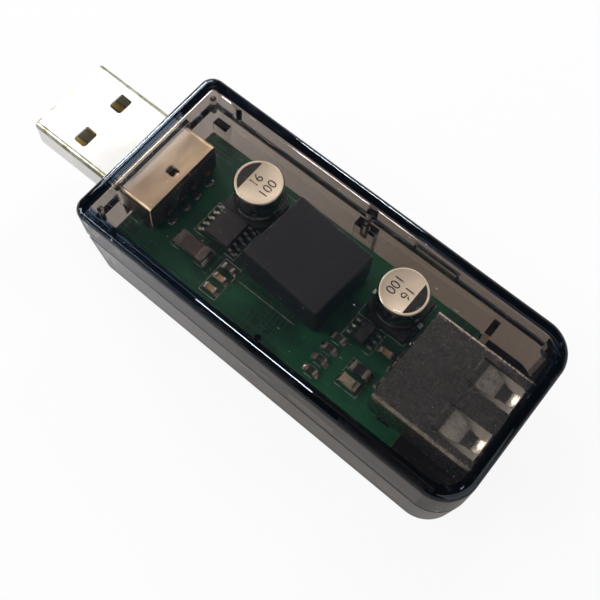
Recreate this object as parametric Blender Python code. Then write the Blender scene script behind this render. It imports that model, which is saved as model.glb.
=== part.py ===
"""USB isolator: a smoked clear stick casing in two shells, with a plug at one end and a socket at the other.

Inside lies a circuit board with a potted power converter, two capacitors and small chips.
X runs from the plug towards the socket, Z is up, and the origin is the centre of the underside.
"""

import math

import bmesh
import bpy
from mathutils import Matrix, Vector

# Casing, all lengths in metres
CASE_WIDTH = 0.0250
HEADROOM = 0.0008
SEAM_ABOVE_PLUG_MIDDLE = 0.0002
WALL = 0.0013
TOP_PLATE = 0.0015
FLOOR = 0.0012
PLUG_CORNER_RADIUS = 0.0018
SOCKET_CORNER_RADIUS = 0.0043
TOP_EDGE_RADIUS = 0.0009
BOTTOM_EDGE_RADIUS = 0.0007
INNER_EDGE_RADIUS = 0.0003
PLUG_END_RAKE = 0.0018
PLUG_END_SEAM_STEP = 0.0003
SOCKET_END_SEAM_STEP = 0.0002
SIDE_RAKE = 0.0006
SIDE_RAKE_SOCKET = 0.0001
SEAM_NARROWING_PLUG = 0.0002
SEAM_WIDENING_SOCKET = 0.0003
LIP_HEIGHT = 0.0010
LIP_THICKNESS = 0.0005
FIT = 0.0003
SNUG = 0.0001
ROOT = 0.0003

# Moulded ribs, posts, sockets and catches of the casing
RIB_RADIUS = 0.00075
RIB_DEPTH = 0.00055
RIB_SETBACK = 0.0055
MIDDLE_RIB_X = -0.0009
POST_RADIUS = 0.0009
POST_INSET = 0.0025
PIN_RADIUS = 0.0004
PIN_INSET = 0.0022
PIN_REACH = 0.0015
PIN_CLEARANCE = 0.00015
PIN_BLOCK_LENGTH = 0.0030
CORNER_BLOCK_LENGTH = 0.0022
CORNER_BLOCK_RISE = 0.0014
BOARD_STOP_THICKNESS = 0.0009
BOARD_STOP_DEPTH = 0.0024
BOARD_STOP_RISE = 0.0016
BOARD_POST_RADIUS = 0.0010
BOARD_POST_INSET = 0.0016
BOARD_POST_SETBACK = 0.0065
CATCH_LENGTH = 0.0060
CATCH_X = 0.0087
CATCH_HEIGHT = 0.0024
NOTCH_CLEARANCE = 0.0005

# Circuit board, which carries the plug at one end and the socket at the other
BOARD_UNDER_PLUG = 0.0036
BOARD_UNDER_SOCKET = 0.0050
BOARD_SIDE_GAP = 0.0017
BOARD_THICKNESS = 0.0016
BOARD_CORNER = 0.0003
HOLE_CLEARANCE = 0.00015
TAIL_LENGTH = 0.0008

# Plug
PLUG_WIDTH = 0.0120
PLUG_HEIGHT = 0.0045
PLUG_LENGTH = 0.01945
PLUG_INSERT = 0.00615
PLUG_STANDOFF = 0.00015
STEEL = 0.0003
PLUG_EDGE_RADIUS = 0.0006
PLUG_TIP_CHAMFER = 0.0003
SEAM_SLIT = 0.00012
WINDOW_LENGTH = 0.0019
WINDOW_WIDTH = 0.0025
WINDOW_SETBACK = 0.0052
WINDOW_SPACING = 0.0063
LOCK_WINDOW_LENGTH = 0.0017
LOCK_WINDOW_WIDTH = 0.0013
LOCK_WINDOW_SETBACK = 0.0007
LOCK_TAB_DROP = 0.0006
LOCK_TAB_THICKNESS = 0.0002
LEG_LENGTH = 0.0012
LEG_SETBACK = 0.0006
PLUG_TONGUE_RECESS = 0.0006
PLUG_TONGUE_HEIGHT = 0.0018
PLUG_BODY_LENGTH = 0.0085
PLUG_BODY_OVERHANG = 0.0005

# Contacts
CONTACT_WIDTH = 0.0009
CONTACT_THICKNESS = 0.0002
CONTACT_INNER_Y = 0.0010
CONTACT_OUTER_Y = 0.0035
CONTACT_SETBACK = 0.0006
CONTACT_OVERHANG = 0.0005
SPRING_BULGE = 0.0007

# Socket
SOCKET_WIDTH = 0.01315
SOCKET_HEIGHT = 0.0056
SOCKET_LENGTH = 0.01445
SOCKET_RECESS = 0.00049
SOCKET_Y = -0.00045
SOCKET_EDGE_RADIUS = 0.0005
SPRING_LENGTH = 0.0060
SPRING_WIDTH = 0.0032
SPRING_GAP = 0.0003
SPRING_SETBACK = 0.0012
SPRING_SIDE_GAP = 0.001275
SPRING_DROP = 0.0008
SPRING_TIP = 0.0011
SPRING_THICKNESS = 0.0002
SOCKET_LEG_LENGTH = 0.0016
SOCKET_LEG_SETBACK = 0.0017
SOCKET_BASE_LENGTH = 0.0040
SOCKET_TONGUE_HEIGHT = 0.0018
SOCKET_TONGUE_SIDE_GAP = 0.000725
SOCKET_TONGUE_DROP = 0.0007
SOCKET_TONGUE_RECESS = 0.0013

# Power converter
CONVERTER_LENGTH = 0.0116
CONVERTER_DEPTH = 0.0101
CONVERTER_HEIGHT = 0.0060
CONVERTER_PIN_MARGIN = 0.00175
CONVERTER_YAW = -4.0
CONVERTER_EDGE = 0.0002
CONVERTER_PITCH = 0.00254
CONVERTER_PIN_WIDTH = 0.0005
CONVERTER_PIN_THICKNESS = 0.00025
CONVERTER_PIN_REACH = 0.0010

# Capacitors
CAN_RADIUS = 0.00315
CAN_HEIGHT = 0.0048
CAN_GROOVE_DEPTH = 0.00025
CAN_GROOVE_HEIGHT = 0.0011
CAN_EDGE = 0.00045
CAN_BASE_RIM = 0.00005
CAN_BASE_HEIGHT = 0.0009
CAN_BASE_CUT = 0.0012
CAN_LEAD_WIDTH = 0.0007
CAN_LEAD_THICKNESS = 0.00015
CAN_LEAD_REACH = 0.0005
CAN_LEAD_INNER = 0.0012
CAPACITOR_1_Y = 0.0052
CAPACITOR_2_Y = 0.00527

# Clear gaps along the board, from the plug to the socket
PLUG_GAP = 0.00465
CONVERTER_GAP_PLUG = 0.0016
CONVERTER_GAP_SOCKET = 0.00244
SOCKET_GAP = 0.00142

# Moulded chips with gull wing leads
LINE_CHIP_GAP = 0.0001
LINE_CHIP_SHIFT = 0.00065
LINE_CHIP_WIDTH = 0.0039
LINE_CHIP_HEIGHT = 0.0014
LINE_CHIP_MARGIN = 0.00004
LINE_CHIP_PITCH = 0.00097
LINE_CHIP_LEADS = 5
REGULATOR_GAP = 0.00057
REGULATOR_SHIFT = 0.00115
REGULATOR_WIDTH = 0.0016
REGULATOR_HEIGHT = 0.0011
REGULATOR_MARGIN = 0.00033
REGULATOR_PITCH = 0.00095
REGULATOR_LEADS = 3
ISOLATOR_Y = -0.0015
ISOLATOR_WIDTH = 0.0075
ISOLATOR_HEIGHT = 0.0021
ISOLATOR_FLOOR_GAP = 0.0007
ISOLATOR_MARGIN = 0.00053
ISOLATOR_PITCH = 0.00127
ISOLATOR_LEADS = 8
LEAD_WIDTH = 0.00035
LEAD_THICKNESS = 0.00015
LEAD_FOOT = 0.0005
LEAD_SHOULDER = 0.0004
MOULD_DRAFT = 0.00012

# Small chip parts, each as length, width and height
CHIP = (0.0016, 0.0008, 0.00055)
LARGE_CHIP = (0.0024, 0.00125, 0.0008)
FUSE = (0.0046, 0.0020, 0.0009)
CHIP_CAP_STEP = 0.00004
CHIP_CAP_SHARE = 0.22
LEFT_COLUMN_GAP = 0.0018
LEFT_COLUMN_Y = -0.0040
LEFT_COLUMN_PITCH = 0.0017
RIGHT_COLUMN_GAP = 0.0025
RIGHT_COLUMN_Y = -0.0024
RIGHT_COLUMN_PITCH = 0.00175
FUSE_SHIFT = 0.00235
FUSE_Y = -0.00472
DIODE_SHIFT = 0.00136
DIODE_Y = -0.0040
LED_SHIFT = 0.00126
LED_Y = -0.00595
SOCKET_CAPACITOR_GAP = 0.0022
SOCKET_CAPACITOR_Y = -0.00015
LED_DOME = 0.0004
LED_DOME_INSET = 0.0005

# Facets of the rounded forms
CORNER_STEPS = 7
EDGE_STEPS = 3
BEND_STEPS = 3
ROD_SIDES = 12
CAN_SIDES = 32
SHARP_ANGLE = 35

# Colour, roughness and metallic value of each material
SMOKE = ((0.10, 0.09, 0.09), 0.12, 0.0)
STEEL_LOOK = ((0.62, 0.61, 0.58), 0.28, 1.0)
GOLD_LOOK = ((0.80, 0.58, 0.28), 0.30, 1.0)
TIN_LOOK = ((0.70, 0.70, 0.68), 0.35, 1.0)
BOARD_LOOK = ((0.02, 0.16, 0.08), 0.40, 0.0)
WHITE_PLASTIC = ((0.75, 0.74, 0.70), 0.45, 0.0)
BLACK_PLASTIC = ((0.02, 0.02, 0.02), 0.50, 0.0)
CAN_LOOK = ((0.80, 0.78, 0.72), 0.35, 0.9)
BROWN_CERAMIC = ((0.35, 0.24, 0.15), 0.45, 0.0)
RED_CERAMIC = ((0.30, 0.16, 0.13), 0.45, 0.0)
LED_LOOK = ((0.85, 0.78, 0.60), 0.30, 0.0)

# Levels that follow from the sizes above, from the floor up
BOARD_BOTTOM = FLOOR + ISOLATOR_FLOOR_GAP + ISOLATOR_HEIGHT
BOARD_TOP = BOARD_BOTTOM + BOARD_THICKNESS
SEAT = BOARD_TOP + SNUG
TAIL_END = BOARD_BOTTOM - TAIL_LENGTH
PLUG_BOTTOM = BOARD_TOP + PLUG_STANDOFF
PLUG_TOP = PLUG_BOTTOM + PLUG_HEIGHT
SEAM_HEIGHT = PLUG_BOTTOM + PLUG_HEIGHT / 2 + SEAM_ABOVE_PLUG_MIDDLE
SOCKET_BOTTOM = SEAT
SOCKET_TOP = SOCKET_BOTTOM + SOCKET_HEIGHT
CAN_TOP = SEAT + CAN_BASE_HEIGHT + SNUG + CAN_HEIGHT
CEILING = max(SEAT + CONVERTER_HEIGHT, CAN_TOP) + HEADROOM
CASE_HEIGHT = CEILING + TOP_PLATE

# Places along the object, from the plug to the socket
CAN_BASE_SIDE = 2 * (CAN_RADIUS + CAN_BASE_RIM)
PLUG_HALF_ROOM = PLUG_GAP + CAN_BASE_SIDE + CONVERTER_GAP_PLUG
SOCKET_HALF_ROOM = CONVERTER_GAP_SOCKET + CAN_BASE_SIDE + SOCKET_GAP
BOARD_ROOM = PLUG_HALF_ROOM + CONVERTER_LENGTH + SOCKET_HALF_ROOM
CASE_LENGTH = PLUG_INSERT + BOARD_ROOM + SOCKET_LENGTH + SOCKET_RECESS
PLUG_BACK_X = PLUG_INSERT - CASE_LENGTH / 2
PLUG_TIP_X = PLUG_BACK_X - PLUG_LENGTH
CAPACITOR_1_X = PLUG_BACK_X + PLUG_GAP + CAN_BASE_SIDE / 2
CONVERTER_X = CAPACITOR_1_X + CAN_BASE_SIDE / 2 + CONVERTER_GAP_PLUG + CONVERTER_LENGTH / 2
CAPACITOR_2_X = CONVERTER_X + CONVERTER_LENGTH / 2 + CONVERTER_GAP_SOCKET + CAN_BASE_SIDE / 2
SOCKET_BACK_X = CAPACITOR_2_X + CAN_BASE_SIDE / 2 + SOCKET_GAP
SOCKET_FRONT_X = SOCKET_BACK_X + SOCKET_LENGTH
BOARD_START = PLUG_BACK_X - BOARD_UNDER_PLUG
BOARD_END = SOCKET_BACK_X + BOARD_UNDER_SOCKET
BOARD_WIDTH = CASE_WIDTH - 2 * (WALL + BOARD_SIDE_GAP)
CONVERTER_PIN_Y = BOARD_WIDTH / 2 - CONVERTER_PIN_MARGIN
CONVERTER_Y = CONVERTER_PIN_Y - CONVERTER_PIN_REACH - CONVERTER_DEPTH / 2
CORNER_BLOCK_TOP = BOARD_TOP + CORNER_BLOCK_RISE
BOARD_STOP_TOP = BOARD_TOP + BOARD_STOP_RISE
RIB_PLACES = (RIB_SETBACK - CASE_LENGTH / 2, MIDDLE_RIB_X)
CONTACT_PLACES = (-CONTACT_OUTER_Y, -CONTACT_INNER_Y, CONTACT_INNER_Y, CONTACT_OUTER_Y)


def material(name, look):
    """A material of the part's own, with its colour, roughness and metallic value."""
    colour, roughness, metallic = look
    made = bpy.data.materials.new(name + "_material")
    made.use_nodes = True
    shader = made.node_tree.nodes["Principled BSDF"]
    shader.inputs["Base Color"].default_value = (*colour, 1.0)
    shader.inputs["Roughness"].default_value = roughness
    shader.inputs["Metallic"].default_value = metallic
    return made


def add_part(name, shape, look, parent):
    """One named piece of the object, smooth except at its sharp edges."""
    mesh = bpy.data.meshes.new(name)
    shape.to_mesh(mesh)
    shape.free()
    mesh.materials.append(material(name, look))
    mesh.shade_smooth()
    mesh.set_sharp_from_angle(angle=math.radians(SHARP_ANGLE))
    piece = bpy.data.objects.new(name, mesh)
    bpy.context.scene.collection.objects.link(piece)
    piece.parent = parent
    return piece


def combine(piece, shape, operation, label):
    """Joins a hidden shape to a piece, or cuts it away."""
    mesh = bpy.data.meshes.new(piece.name + "_" + label)
    shape.to_mesh(mesh)
    shape.free()
    tool = bpy.data.objects.new(mesh.name, mesh)
    bpy.context.scene.collection.objects.link(tool)
    tool.parent = piece
    tool.hide_render = True
    tool.display_type = "WIRE"
    change = piece.modifiers.new(label, "BOOLEAN")
    change.operation = operation
    change.solver = "EXACT"
    change.object = tool


def holder(name, parent, place, yaw=0.0):
    """An empty that carries the pieces mounted at one place."""
    empty = bpy.data.objects.new(name, None)
    bpy.context.scene.collection.objects.link(empty)
    empty.parent = parent
    empty.location = place
    empty.rotation_euler = (0, 0, math.radians(yaw))
    return empty


def block(shape, x, y, z):
    """A box between the two values of each pair."""
    spans = (x, y, z)
    middle = Vector([(low + high) / 2 for low, high in spans])
    size = Matrix.Diagonal([high - low for low, high in spans] + [1])
    bmesh.ops.create_cube(shape, size=1, matrix=Matrix.Translation(middle) @ size)


def rod(shape, x, y, low, high, radius):
    """An upright round rod."""
    bmesh.ops.create_cone(
        shape,
        cap_ends=True,
        segments=ROD_SIDES,
        radius1=radius,
        radius2=radius,
        depth=high - low,
        matrix=Matrix.Translation((x, y, (low + high) / 2)),
    )


def loft(rings, closed=False):
    """A skin through rings of as many points each, capped at both ends or closed on itself."""
    shape = bmesh.new()
    loops = [[shape.verts.new(point) for point in ring] for ring in rings]
    pairs = list(zip(loops, loops[1:]))
    if closed:
        pairs.append((loops[-1], loops[0]))
    else:
        shape.faces.new(loops[0])
        shape.faces.new(loops[-1])
    count = len(loops[0])
    for near, far in pairs:
        for i in range(count):
            j = (i + 1) % count
            shape.faces.new((near[i], near[j], far[j], far[i]))
    bmesh.ops.recalc_face_normals(shape, faces=shape.faces[:])
    return shape


def append(shape, extra):
    """Adds a finished shape to one that is still being made."""
    mesh = bpy.data.meshes.new("extra")
    extra.to_mesh(mesh)
    extra.free()
    shape.from_mesh(mesh)
    bpy.data.meshes.remove(mesh)


def rounded_outline(ends, halves, radii, steps):
    """A four sided outline with round corners, whose two ends differ in half width and radius."""
    low, high = ends
    half_low, half_high = halves
    radius_low, radius_high = radii
    corners = (
        (high - radius_high, half_high - radius_high, radius_high, 0),
        (low + radius_low, half_low - radius_low, radius_low, 90),
        (low + radius_low, radius_low - half_low, radius_low, 180),
        (high - radius_high, radius_high - half_high, radius_high, 270),
    )
    points = []
    for across, along, radius, start in corners:
        for step in range(steps + 1):
            turn = math.radians(start + 90 * step / steps)
            points.append((across + radius * math.cos(turn), along + radius * math.sin(turn)))
    return points


def strip(path, thickness, low, high):
    """A flat strip bent along points in the XZ plane and as wide as the span in Y."""
    points = [Vector(point) for point in path]
    rings = []
    for i, point in enumerate(points):
        before = (point - points[i - 1]).normalized() if i else None
        after = (points[i + 1] - point).normalized() if i + 1 < len(points) else before
        before = before or after
        normal = Vector((-before.y - after.y, before.x + after.x)) / (1 + before.dot(after))
        side = normal * thickness / 2
        up, down = point + side, point - side
        corners = ((up, low), (up, high), (down, high), (down, low))
        rings.append([(point.x, y, point.y) for point, y in corners])
    return loft(rings)


def bend(corner, start, end, radius):
    """Points of a round bend at a corner of a path that comes from start and goes on to end."""
    corner, start, end = Vector(corner), Vector(start), Vector(end)
    first = corner + (start - corner).normalized() * radius
    last = corner + (end - corner).normalized() * radius
    points = []
    for step in range(BEND_STEPS + 1):
        t = step / BEND_STEPS
        points.append(first * (1 - t) ** 2 + corner * 2 * t * (1 - t) + last * t**2)
    return points


def turned(profile, sides):
    """A solid turned round the upright axis from points of radius and height that start and end on it."""
    shape = bmesh.new()
    verts = [shape.verts.new((radius, 0, height)) for radius, height in profile]
    edges = [shape.edges.new(pair) for pair in zip(verts, verts[1:])]
    bmesh.ops.spin(
        shape,
        geom=verts + edges,
        cent=(0, 0, 0),
        axis=(0, 0, 1),
        angle=2 * math.pi,
        steps=sides,
        use_merge=True,
    )
    bmesh.ops.remove_doubles(shape, verts=shape.verts[:], dist=0.000001)
    bmesh.ops.recalc_face_normals(shape, faces=shape.faces[:])
    return shape


# Casing outline at a height: its two ends and its half width at each end
CASE_LEVELS = (
    (
        0.0,
        PLUG_END_RAKE - CASE_LENGTH / 2,
        CASE_LENGTH / 2 + SOCKET_END_SEAM_STEP / 2,
        CASE_WIDTH / 2 - SIDE_RAKE,
        CASE_WIDTH / 2 - SIDE_RAKE_SOCKET,
    ),
    (
        SEAM_HEIGHT,
        PLUG_END_SEAM_STEP - CASE_LENGTH / 2,
        CASE_LENGTH / 2 + SOCKET_END_SEAM_STEP,
        CASE_WIDTH / 2 - SEAM_NARROWING_PLUG,
        CASE_WIDTH / 2 + SEAM_WIDENING_SOCKET,
    ),
    (CASE_HEIGHT, -CASE_LENGTH / 2, CASE_LENGTH / 2, CASE_WIDTH / 2, CASE_WIDTH / 2),
)


def case_level(height):
    """The casing's two ends and half widths at a height, straight between its three levels."""
    low, high = CASE_LEVELS[:2] if height < SEAM_HEIGHT else CASE_LEVELS[1:]
    share = (height - low[0]) / (high[0] - low[0])
    return [a + (b - a) * share for a, b in zip(low[1:], high[1:])]


def case_side(x, height):
    """Half width of the casing's outside at a place along it."""
    start, end, half_start, half_end = case_level(height)
    return half_start + (half_end - half_start) * (x - start) / (end - start)


def case_ring(height, inset):
    """The casing's outline at a height, moved in by an inset."""
    start, end, half_start, half_end = case_level(height)
    radii = [max(radius - inset, SNUG) for radius in (PLUG_CORNER_RADIUS, SOCKET_CORNER_RADIUS)]
    outline = rounded_outline(
        (start + inset, end - inset), (half_start - inset, half_end - inset), radii, CORNER_STEPS
    )
    return [(x, y, height) for x, y in outline]


def edge_round(height, inset, radius, outward, upward):
    """Height and inset of points round an edge, from the flat to the wall."""
    points = []
    for step in range(EDGE_STEPS + 1):
        turn = math.pi / 2 * step / EDGE_STEPS
        level = height - upward * radius * (1 - math.cos(turn))
        points.append((level, inset + outward * radius * (1 - math.sin(turn))))
    return points


def case_shell(name, profile, parent):
    """A shell lofted round the casing's outline from the section of its wall."""
    return add_part(name, loft([case_ring(height, inset) for height, inset in profile]), SMOKE, parent)


def bottom_shell(parent):
    """Lower shell: its floor and walls, with a thin lip that stands up inside the upper shell."""
    profile = edge_round(0.0, 0.0, BOTTOM_EDGE_RADIUS, 1, -1)
    lip_top = SEAM_HEIGHT + LIP_HEIGHT
    profile += [
        (SEAM_HEIGHT, 0.0),
        (SEAM_HEIGHT, WALL - LIP_THICKNESS),
        (lip_top, WALL - LIP_THICKNESS),
        (lip_top, WALL),
    ]
    profile += edge_round(FLOOR, WALL, INNER_EDGE_RADIUS, 1, -1)[::-1]
    shell = case_shell("case_bottom_shell", profile, parent)

    # Blocks with a bore for the upper shell's pins, and stops at the board's corners
    blocks = bmesh.new()
    bores = bmesh.new()
    rests = bmesh.new()
    board_side = BOARD_WIDTH / 2 + FIT
    for side in (-1, 1):
        x = MIDDLE_RIB_X
        wall = case_side(x, SEAM_HEIGHT) - WALL
        pin_y = case_side(x, CASE_HEIGHT) - PIN_INSET
        reach = (x - PIN_BLOCK_LENGTH / 2, x + PIN_BLOCK_LENGTH / 2)
        depth = (side * board_side, side * (wall + ROOT))
        block(blocks, reach, sorted(depth), (FLOOR - ROOT, SEAM_HEIGHT))
        low = SEAM_HEIGHT - PIN_REACH - FIT
        rod(bores, x, side * pin_y, low, SEAM_HEIGHT + LIP_HEIGHT, PIN_RADIUS + PIN_CLEARANCE)

        wall = case_side(BOARD_START, CORNER_BLOCK_TOP) - WALL
        reach = (BOARD_START - ROOT, BOARD_START - ROOT + CORNER_BLOCK_LENGTH)
        depth = (side * board_side, side * (wall + ROOT))
        block(blocks, reach, sorted(depth), (FLOOR - ROOT, CORNER_BLOCK_TOP))

        wall = case_side(BOARD_END, BOARD_STOP_TOP) - WALL
        reach = (BOARD_END + FIT, BOARD_END + FIT + BOARD_STOP_THICKNESS)
        depth = (side * (wall - BOARD_STOP_DEPTH), side * (wall + ROOT))
        block(blocks, reach, sorted(depth), (FLOOR - ROOT, BOARD_STOP_TOP))

        for x in (BOARD_START + BOARD_POST_SETBACK, BOARD_END - BOARD_POST_SETBACK):
            y = side * (BOARD_WIDTH / 2 - BOARD_POST_INSET)
            rod(rests, x, y, FLOOR - ROOT, BOARD_BOTTOM - FIT, BOARD_POST_RADIUS)

        catch_side = case_side(CATCH_X, SEAM_HEIGHT) - WALL + LIP_THICKNESS
        reach = (CATCH_X - CATCH_LENGTH / 2, CATCH_X + CATCH_LENGTH / 2)
        depth = (side * (catch_side - LIP_THICKNESS - SNUG), side * catch_side)
        block(blocks, reach, sorted(depth), (SEAM_HEIGHT - LIP_HEIGHT, SEAM_HEIGHT + CATCH_HEIGHT))
    combine(shell, blocks, "UNION", "blocks")
    combine(shell, rests, "UNION", "rests")
    combine(shell, bores, "DIFFERENCE", "bores")
    cut_ends(shell)
    return shell


def top_shell(parent):
    """Upper shell: its top plate and walls, with a step inside that fits over the lower shell's lip."""
    profile = edge_round(CASE_HEIGHT, 0.0, TOP_EDGE_RADIUS, 1, 1)
    foot = SEAM_HEIGHT + FIT
    step = WALL - LIP_THICKNESS - FIT
    profile += [
        (foot, 0.0),
        (foot, step),
        (foot + LIP_HEIGHT, step),
        (foot + LIP_HEIGHT, WALL),
    ]
    profile += edge_round(CEILING, WALL, INNER_EDGE_RADIUS, 1, 1)[::-1]
    shell = case_shell("case_top_shell", profile, parent)

    # Half round ribs on the side walls, pins beside two of them, and posts in the corners
    ribs = bmesh.new()
    pins = bmesh.new()
    pockets = bmesh.new()
    rib_foot = foot + LIP_HEIGHT + FIT
    for side in (-1, 1):
        for x in RIB_PLACES:
            wall = case_side(x, CASE_HEIGHT) - WALL
            rod(ribs, x, side * (wall + RIB_RADIUS - RIB_DEPTH), rib_foot, CEILING + ROOT, RIB_RADIUS)
        x = MIDDLE_RIB_X
        pin_y = case_side(x, CASE_HEIGHT) - PIN_INSET
        rod(pins, x, side * pin_y, SEAM_HEIGHT - PIN_REACH, CEILING + ROOT, PIN_RADIUS)
        x = CASE_LENGTH / 2 - POST_INSET
        y = CASE_WIDTH / 2 - SOCKET_CORNER_RADIUS + POST_INSET
        rod(ribs, x, side * y, rib_foot, CEILING + ROOT, POST_RADIUS)
        x = POST_INSET - CASE_LENGTH / 2
        rod(ribs, x, side * (CASE_WIDTH / 2 - POST_INSET), rib_foot, CEILING + ROOT, PIN_RADIUS)

        catch_side = case_side(CATCH_X, SEAM_HEIGHT) - WALL + LIP_THICKNESS
        reach = (CATCH_X - CATCH_LENGTH / 2 - FIT, CATCH_X + CATCH_LENGTH / 2 + FIT)
        depth = (side * (catch_side - WALL), side * (catch_side + FIT))
        block(pockets, reach, sorted(depth), (SEAM_HEIGHT, SEAM_HEIGHT + CATCH_HEIGHT + FIT))
    combine(shell, pockets, "DIFFERENCE", "pockets")
    combine(shell, ribs, "UNION", "ribs")
    combine(shell, pins, "UNION", "pins")
    cut_ends(shell)
    return shell


def cut_ends(shell):
    """The notch for the plug and the mouth for the socket, cut through both shells."""
    openings = bmesh.new()
    half = PLUG_WIDTH / 2 + NOTCH_CLEARANCE
    outside = CASE_LENGTH / 2 + WALL
    reach = (-outside, WALL * 2 - CASE_LENGTH / 2 + ROOT)
    block(openings, reach, (-half, half), (PLUG_BOTTOM - FIT, PLUG_TOP + FIT))
    half = SOCKET_WIDTH / 2 + FIT
    span = (SOCKET_Y - half, SOCKET_Y + half)
    block(openings, (CASE_LENGTH / 2 - WALL * 2, outside), span, (SOCKET_BOTTOM - FIT, SOCKET_TOP + FIT))
    combine(shell, openings, "DIFFERENCE", "openings")


def board(parent):
    """The circuit board, with a hole for each pin and leg that passes through it."""
    half = BOARD_WIDTH / 2
    corners = (BOARD_CORNER, BOARD_CORNER)
    outline = rounded_outline((BOARD_START, BOARD_END), (half, half), corners, BEND_STEPS)
    rings = [[(x, y, z) for x, y in outline] for z in (BOARD_BOTTOM, BOARD_TOP)]
    piece = add_part("circuit_board", loft(rings), BOARD_LOOK, parent)
    holes = bmesh.new()
    span = (BOARD_BOTTOM - FIT, BOARD_TOP + FIT)
    radius = math.hypot(CONTACT_WIDTH, CONTACT_THICKNESS) / 2 + HOLE_CLEARANCE
    for offset in CONTACT_PLACES:
        rod(holes, plug_tail_x(), offset, *span, radius)
        rod(holes, socket_tail_x(), SOCKET_Y + offset, *span, radius)
    for side in (-1, 1):
        slot(holes, plug_leg_span(), side * PLUG_WIDTH / 2, side, span)
        edge = SOCKET_Y + side * SOCKET_WIDTH / 2
        slot(holes, socket_leg_span(), edge, side, span)
    turn = Matrix.Rotation(math.radians(CONVERTER_YAW), 4, "Z")
    radius = math.hypot(CONVERTER_PIN_WIDTH, CONVERTER_PIN_THICKNESS) / 2 + HOLE_CLEARANCE
    for offset in converter_pin_places():
        place = turn @ Vector((offset, converter_tail_y(), 0))
        rod(holes, CONVERTER_X + place.x, CONVERTER_Y + place.y, *span, radius)
    combine(piece, holes, "DIFFERENCE", "holes")


def plug_leg_span():
    """Where the plug's legs lie along X."""
    end = PLUG_BACK_X - LEG_SETBACK
    return (end - LEG_LENGTH, end)


def socket_leg_span():
    """Where the socket's legs lie along X."""
    start = SOCKET_BACK_X + SOCKET_LEG_SETBACK
    return (start, start + SOCKET_LEG_LENGTH)


def slot(holes, reach, edge, side, span):
    """A slot for a shell's leg, which is as thick as the steel and flush with the shell's side."""
    depth = (edge - side * (STEEL + HOLE_CLEARANCE), edge + side * HOLE_CLEARANCE)
    block(holes, (reach[0] - HOLE_CLEARANCE, reach[1] + HOLE_CLEARANCE), sorted(depth), span)


def folded_tube(ends, centre, size, radius, front):
    """A folded sheet metal tube along X, with a chamfer at the end named by front."""
    rings = []
    back_x, front_x = ends
    toward = math.copysign(PLUG_TIP_CHAMFER, front_x - back_x)
    stations = ((back_x, 0.0), (front_x - toward, 0.0), (front_x, front))
    layers = [(x, inset) for x, inset in stations]
    layers += [(x, inset / 2 + STEEL) for x, inset in stations[::-1]]
    for x, inset in layers:
        half_y = size[0] / 2 - inset
        half_z = size[1] / 2 - inset
        corner = max(radius - inset, SNUG)
        outline = rounded_outline((-half_y, half_y), (half_z, half_z), (corner, corner), BEND_STEPS)
        rings.append([(x, centre[0] + y, centre[1] + z) for y, z in outline])
    return loft(rings, closed=True)


def add_legs(legs, reach, centre, half_width, low, high):
    """Two legs in line with a shell's side walls, pointed at the foot."""
    inner = half_width - STEEL
    for side in (-1, 1):
        edges = sorted((centre + side * (inner + SNUG / 2), centre + side * (half_width - SNUG / 2)))
        taper = (reach[1] - reach[0]) / 4
        rings = []
        for x0, x1, z in (
            (reach[0] + taper, reach[1] - taper, low),
            (reach[0], reach[1], low + taper),
            (reach[0], reach[1], high),
        ):
            rings.append([(x0, edges[0], z), (x1, edges[0], z), (x1, edges[1], z), (x0, edges[1], z)])
        append(legs, loft(rings))


def plug_shell(parent):
    """Plug shell folded from steel: windows, a lock tab pressed in at the back, and two legs."""
    middle = PLUG_BOTTOM + PLUG_HEIGHT / 2
    tube = folded_tube(
        (PLUG_BACK_X, PLUG_TIP_X), (0, middle), (PLUG_WIDTH, PLUG_HEIGHT), PLUG_EDGE_RADIUS, STEEL / 2
    )
    shell = add_part("usb_plug_shell", tube, STEEL_LOOK, parent)
    windows = bmesh.new()
    start = PLUG_TIP_X + WINDOW_SETBACK
    for side in (-1, 1):
        y = side * WINDOW_SPACING / 2
        span = (y - WINDOW_WIDTH / 2, y + WINDOW_WIDTH / 2)
        block(windows, (start, start + WINDOW_LENGTH), span, (PLUG_BOTTOM - FIT, PLUG_TOP + FIT))
    end = PLUG_BACK_X - LOCK_WINDOW_SETBACK
    half = LOCK_WINDOW_WIDTH / 2
    block(windows, (end - LOCK_WINDOW_LENGTH, end), (-half, half), (PLUG_TOP - STEEL - FIT, PLUG_TOP + FIT))
    reach = (PLUG_TIP_X - FIT, PLUG_BACK_X + FIT)
    block(windows, reach, (-SEAM_SLIT / 2, SEAM_SLIT / 2), (PLUG_BOTTOM - FIT, PLUG_BOTTOM + STEEL + SNUG))
    combine(shell, windows, "DIFFERENCE", "windows")
    level = PLUG_TOP - STEEL / 2
    tip = end - LOCK_WINDOW_LENGTH + LOCK_TAB_DROP
    path = [(end + LOCK_WINDOW_SETBACK / 2, level), (end, level), (tip, level - LOCK_TAB_DROP)]
    tab = strip(path, LOCK_TAB_THICKNESS, SPRING_GAP - half, half - SPRING_GAP)
    combine(shell, tab, "UNION", "lock_tab")
    legs = bmesh.new()
    reach = plug_leg_span()
    add_legs(legs, reach, 0.0, PLUG_WIDTH / 2, TAIL_END, middle)
    combine(shell, legs, "UNION", "legs")


def plug_tail_x():
    """Where the plug's contacts go down into the board."""
    return PLUG_BACK_X + PLUG_BODY_OVERHANG + CONTACT_OVERHANG


def socket_tail_x():
    """Where the socket's contacts go down into the board."""
    return SOCKET_BACK_X - CONTACT_OVERHANG


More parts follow.
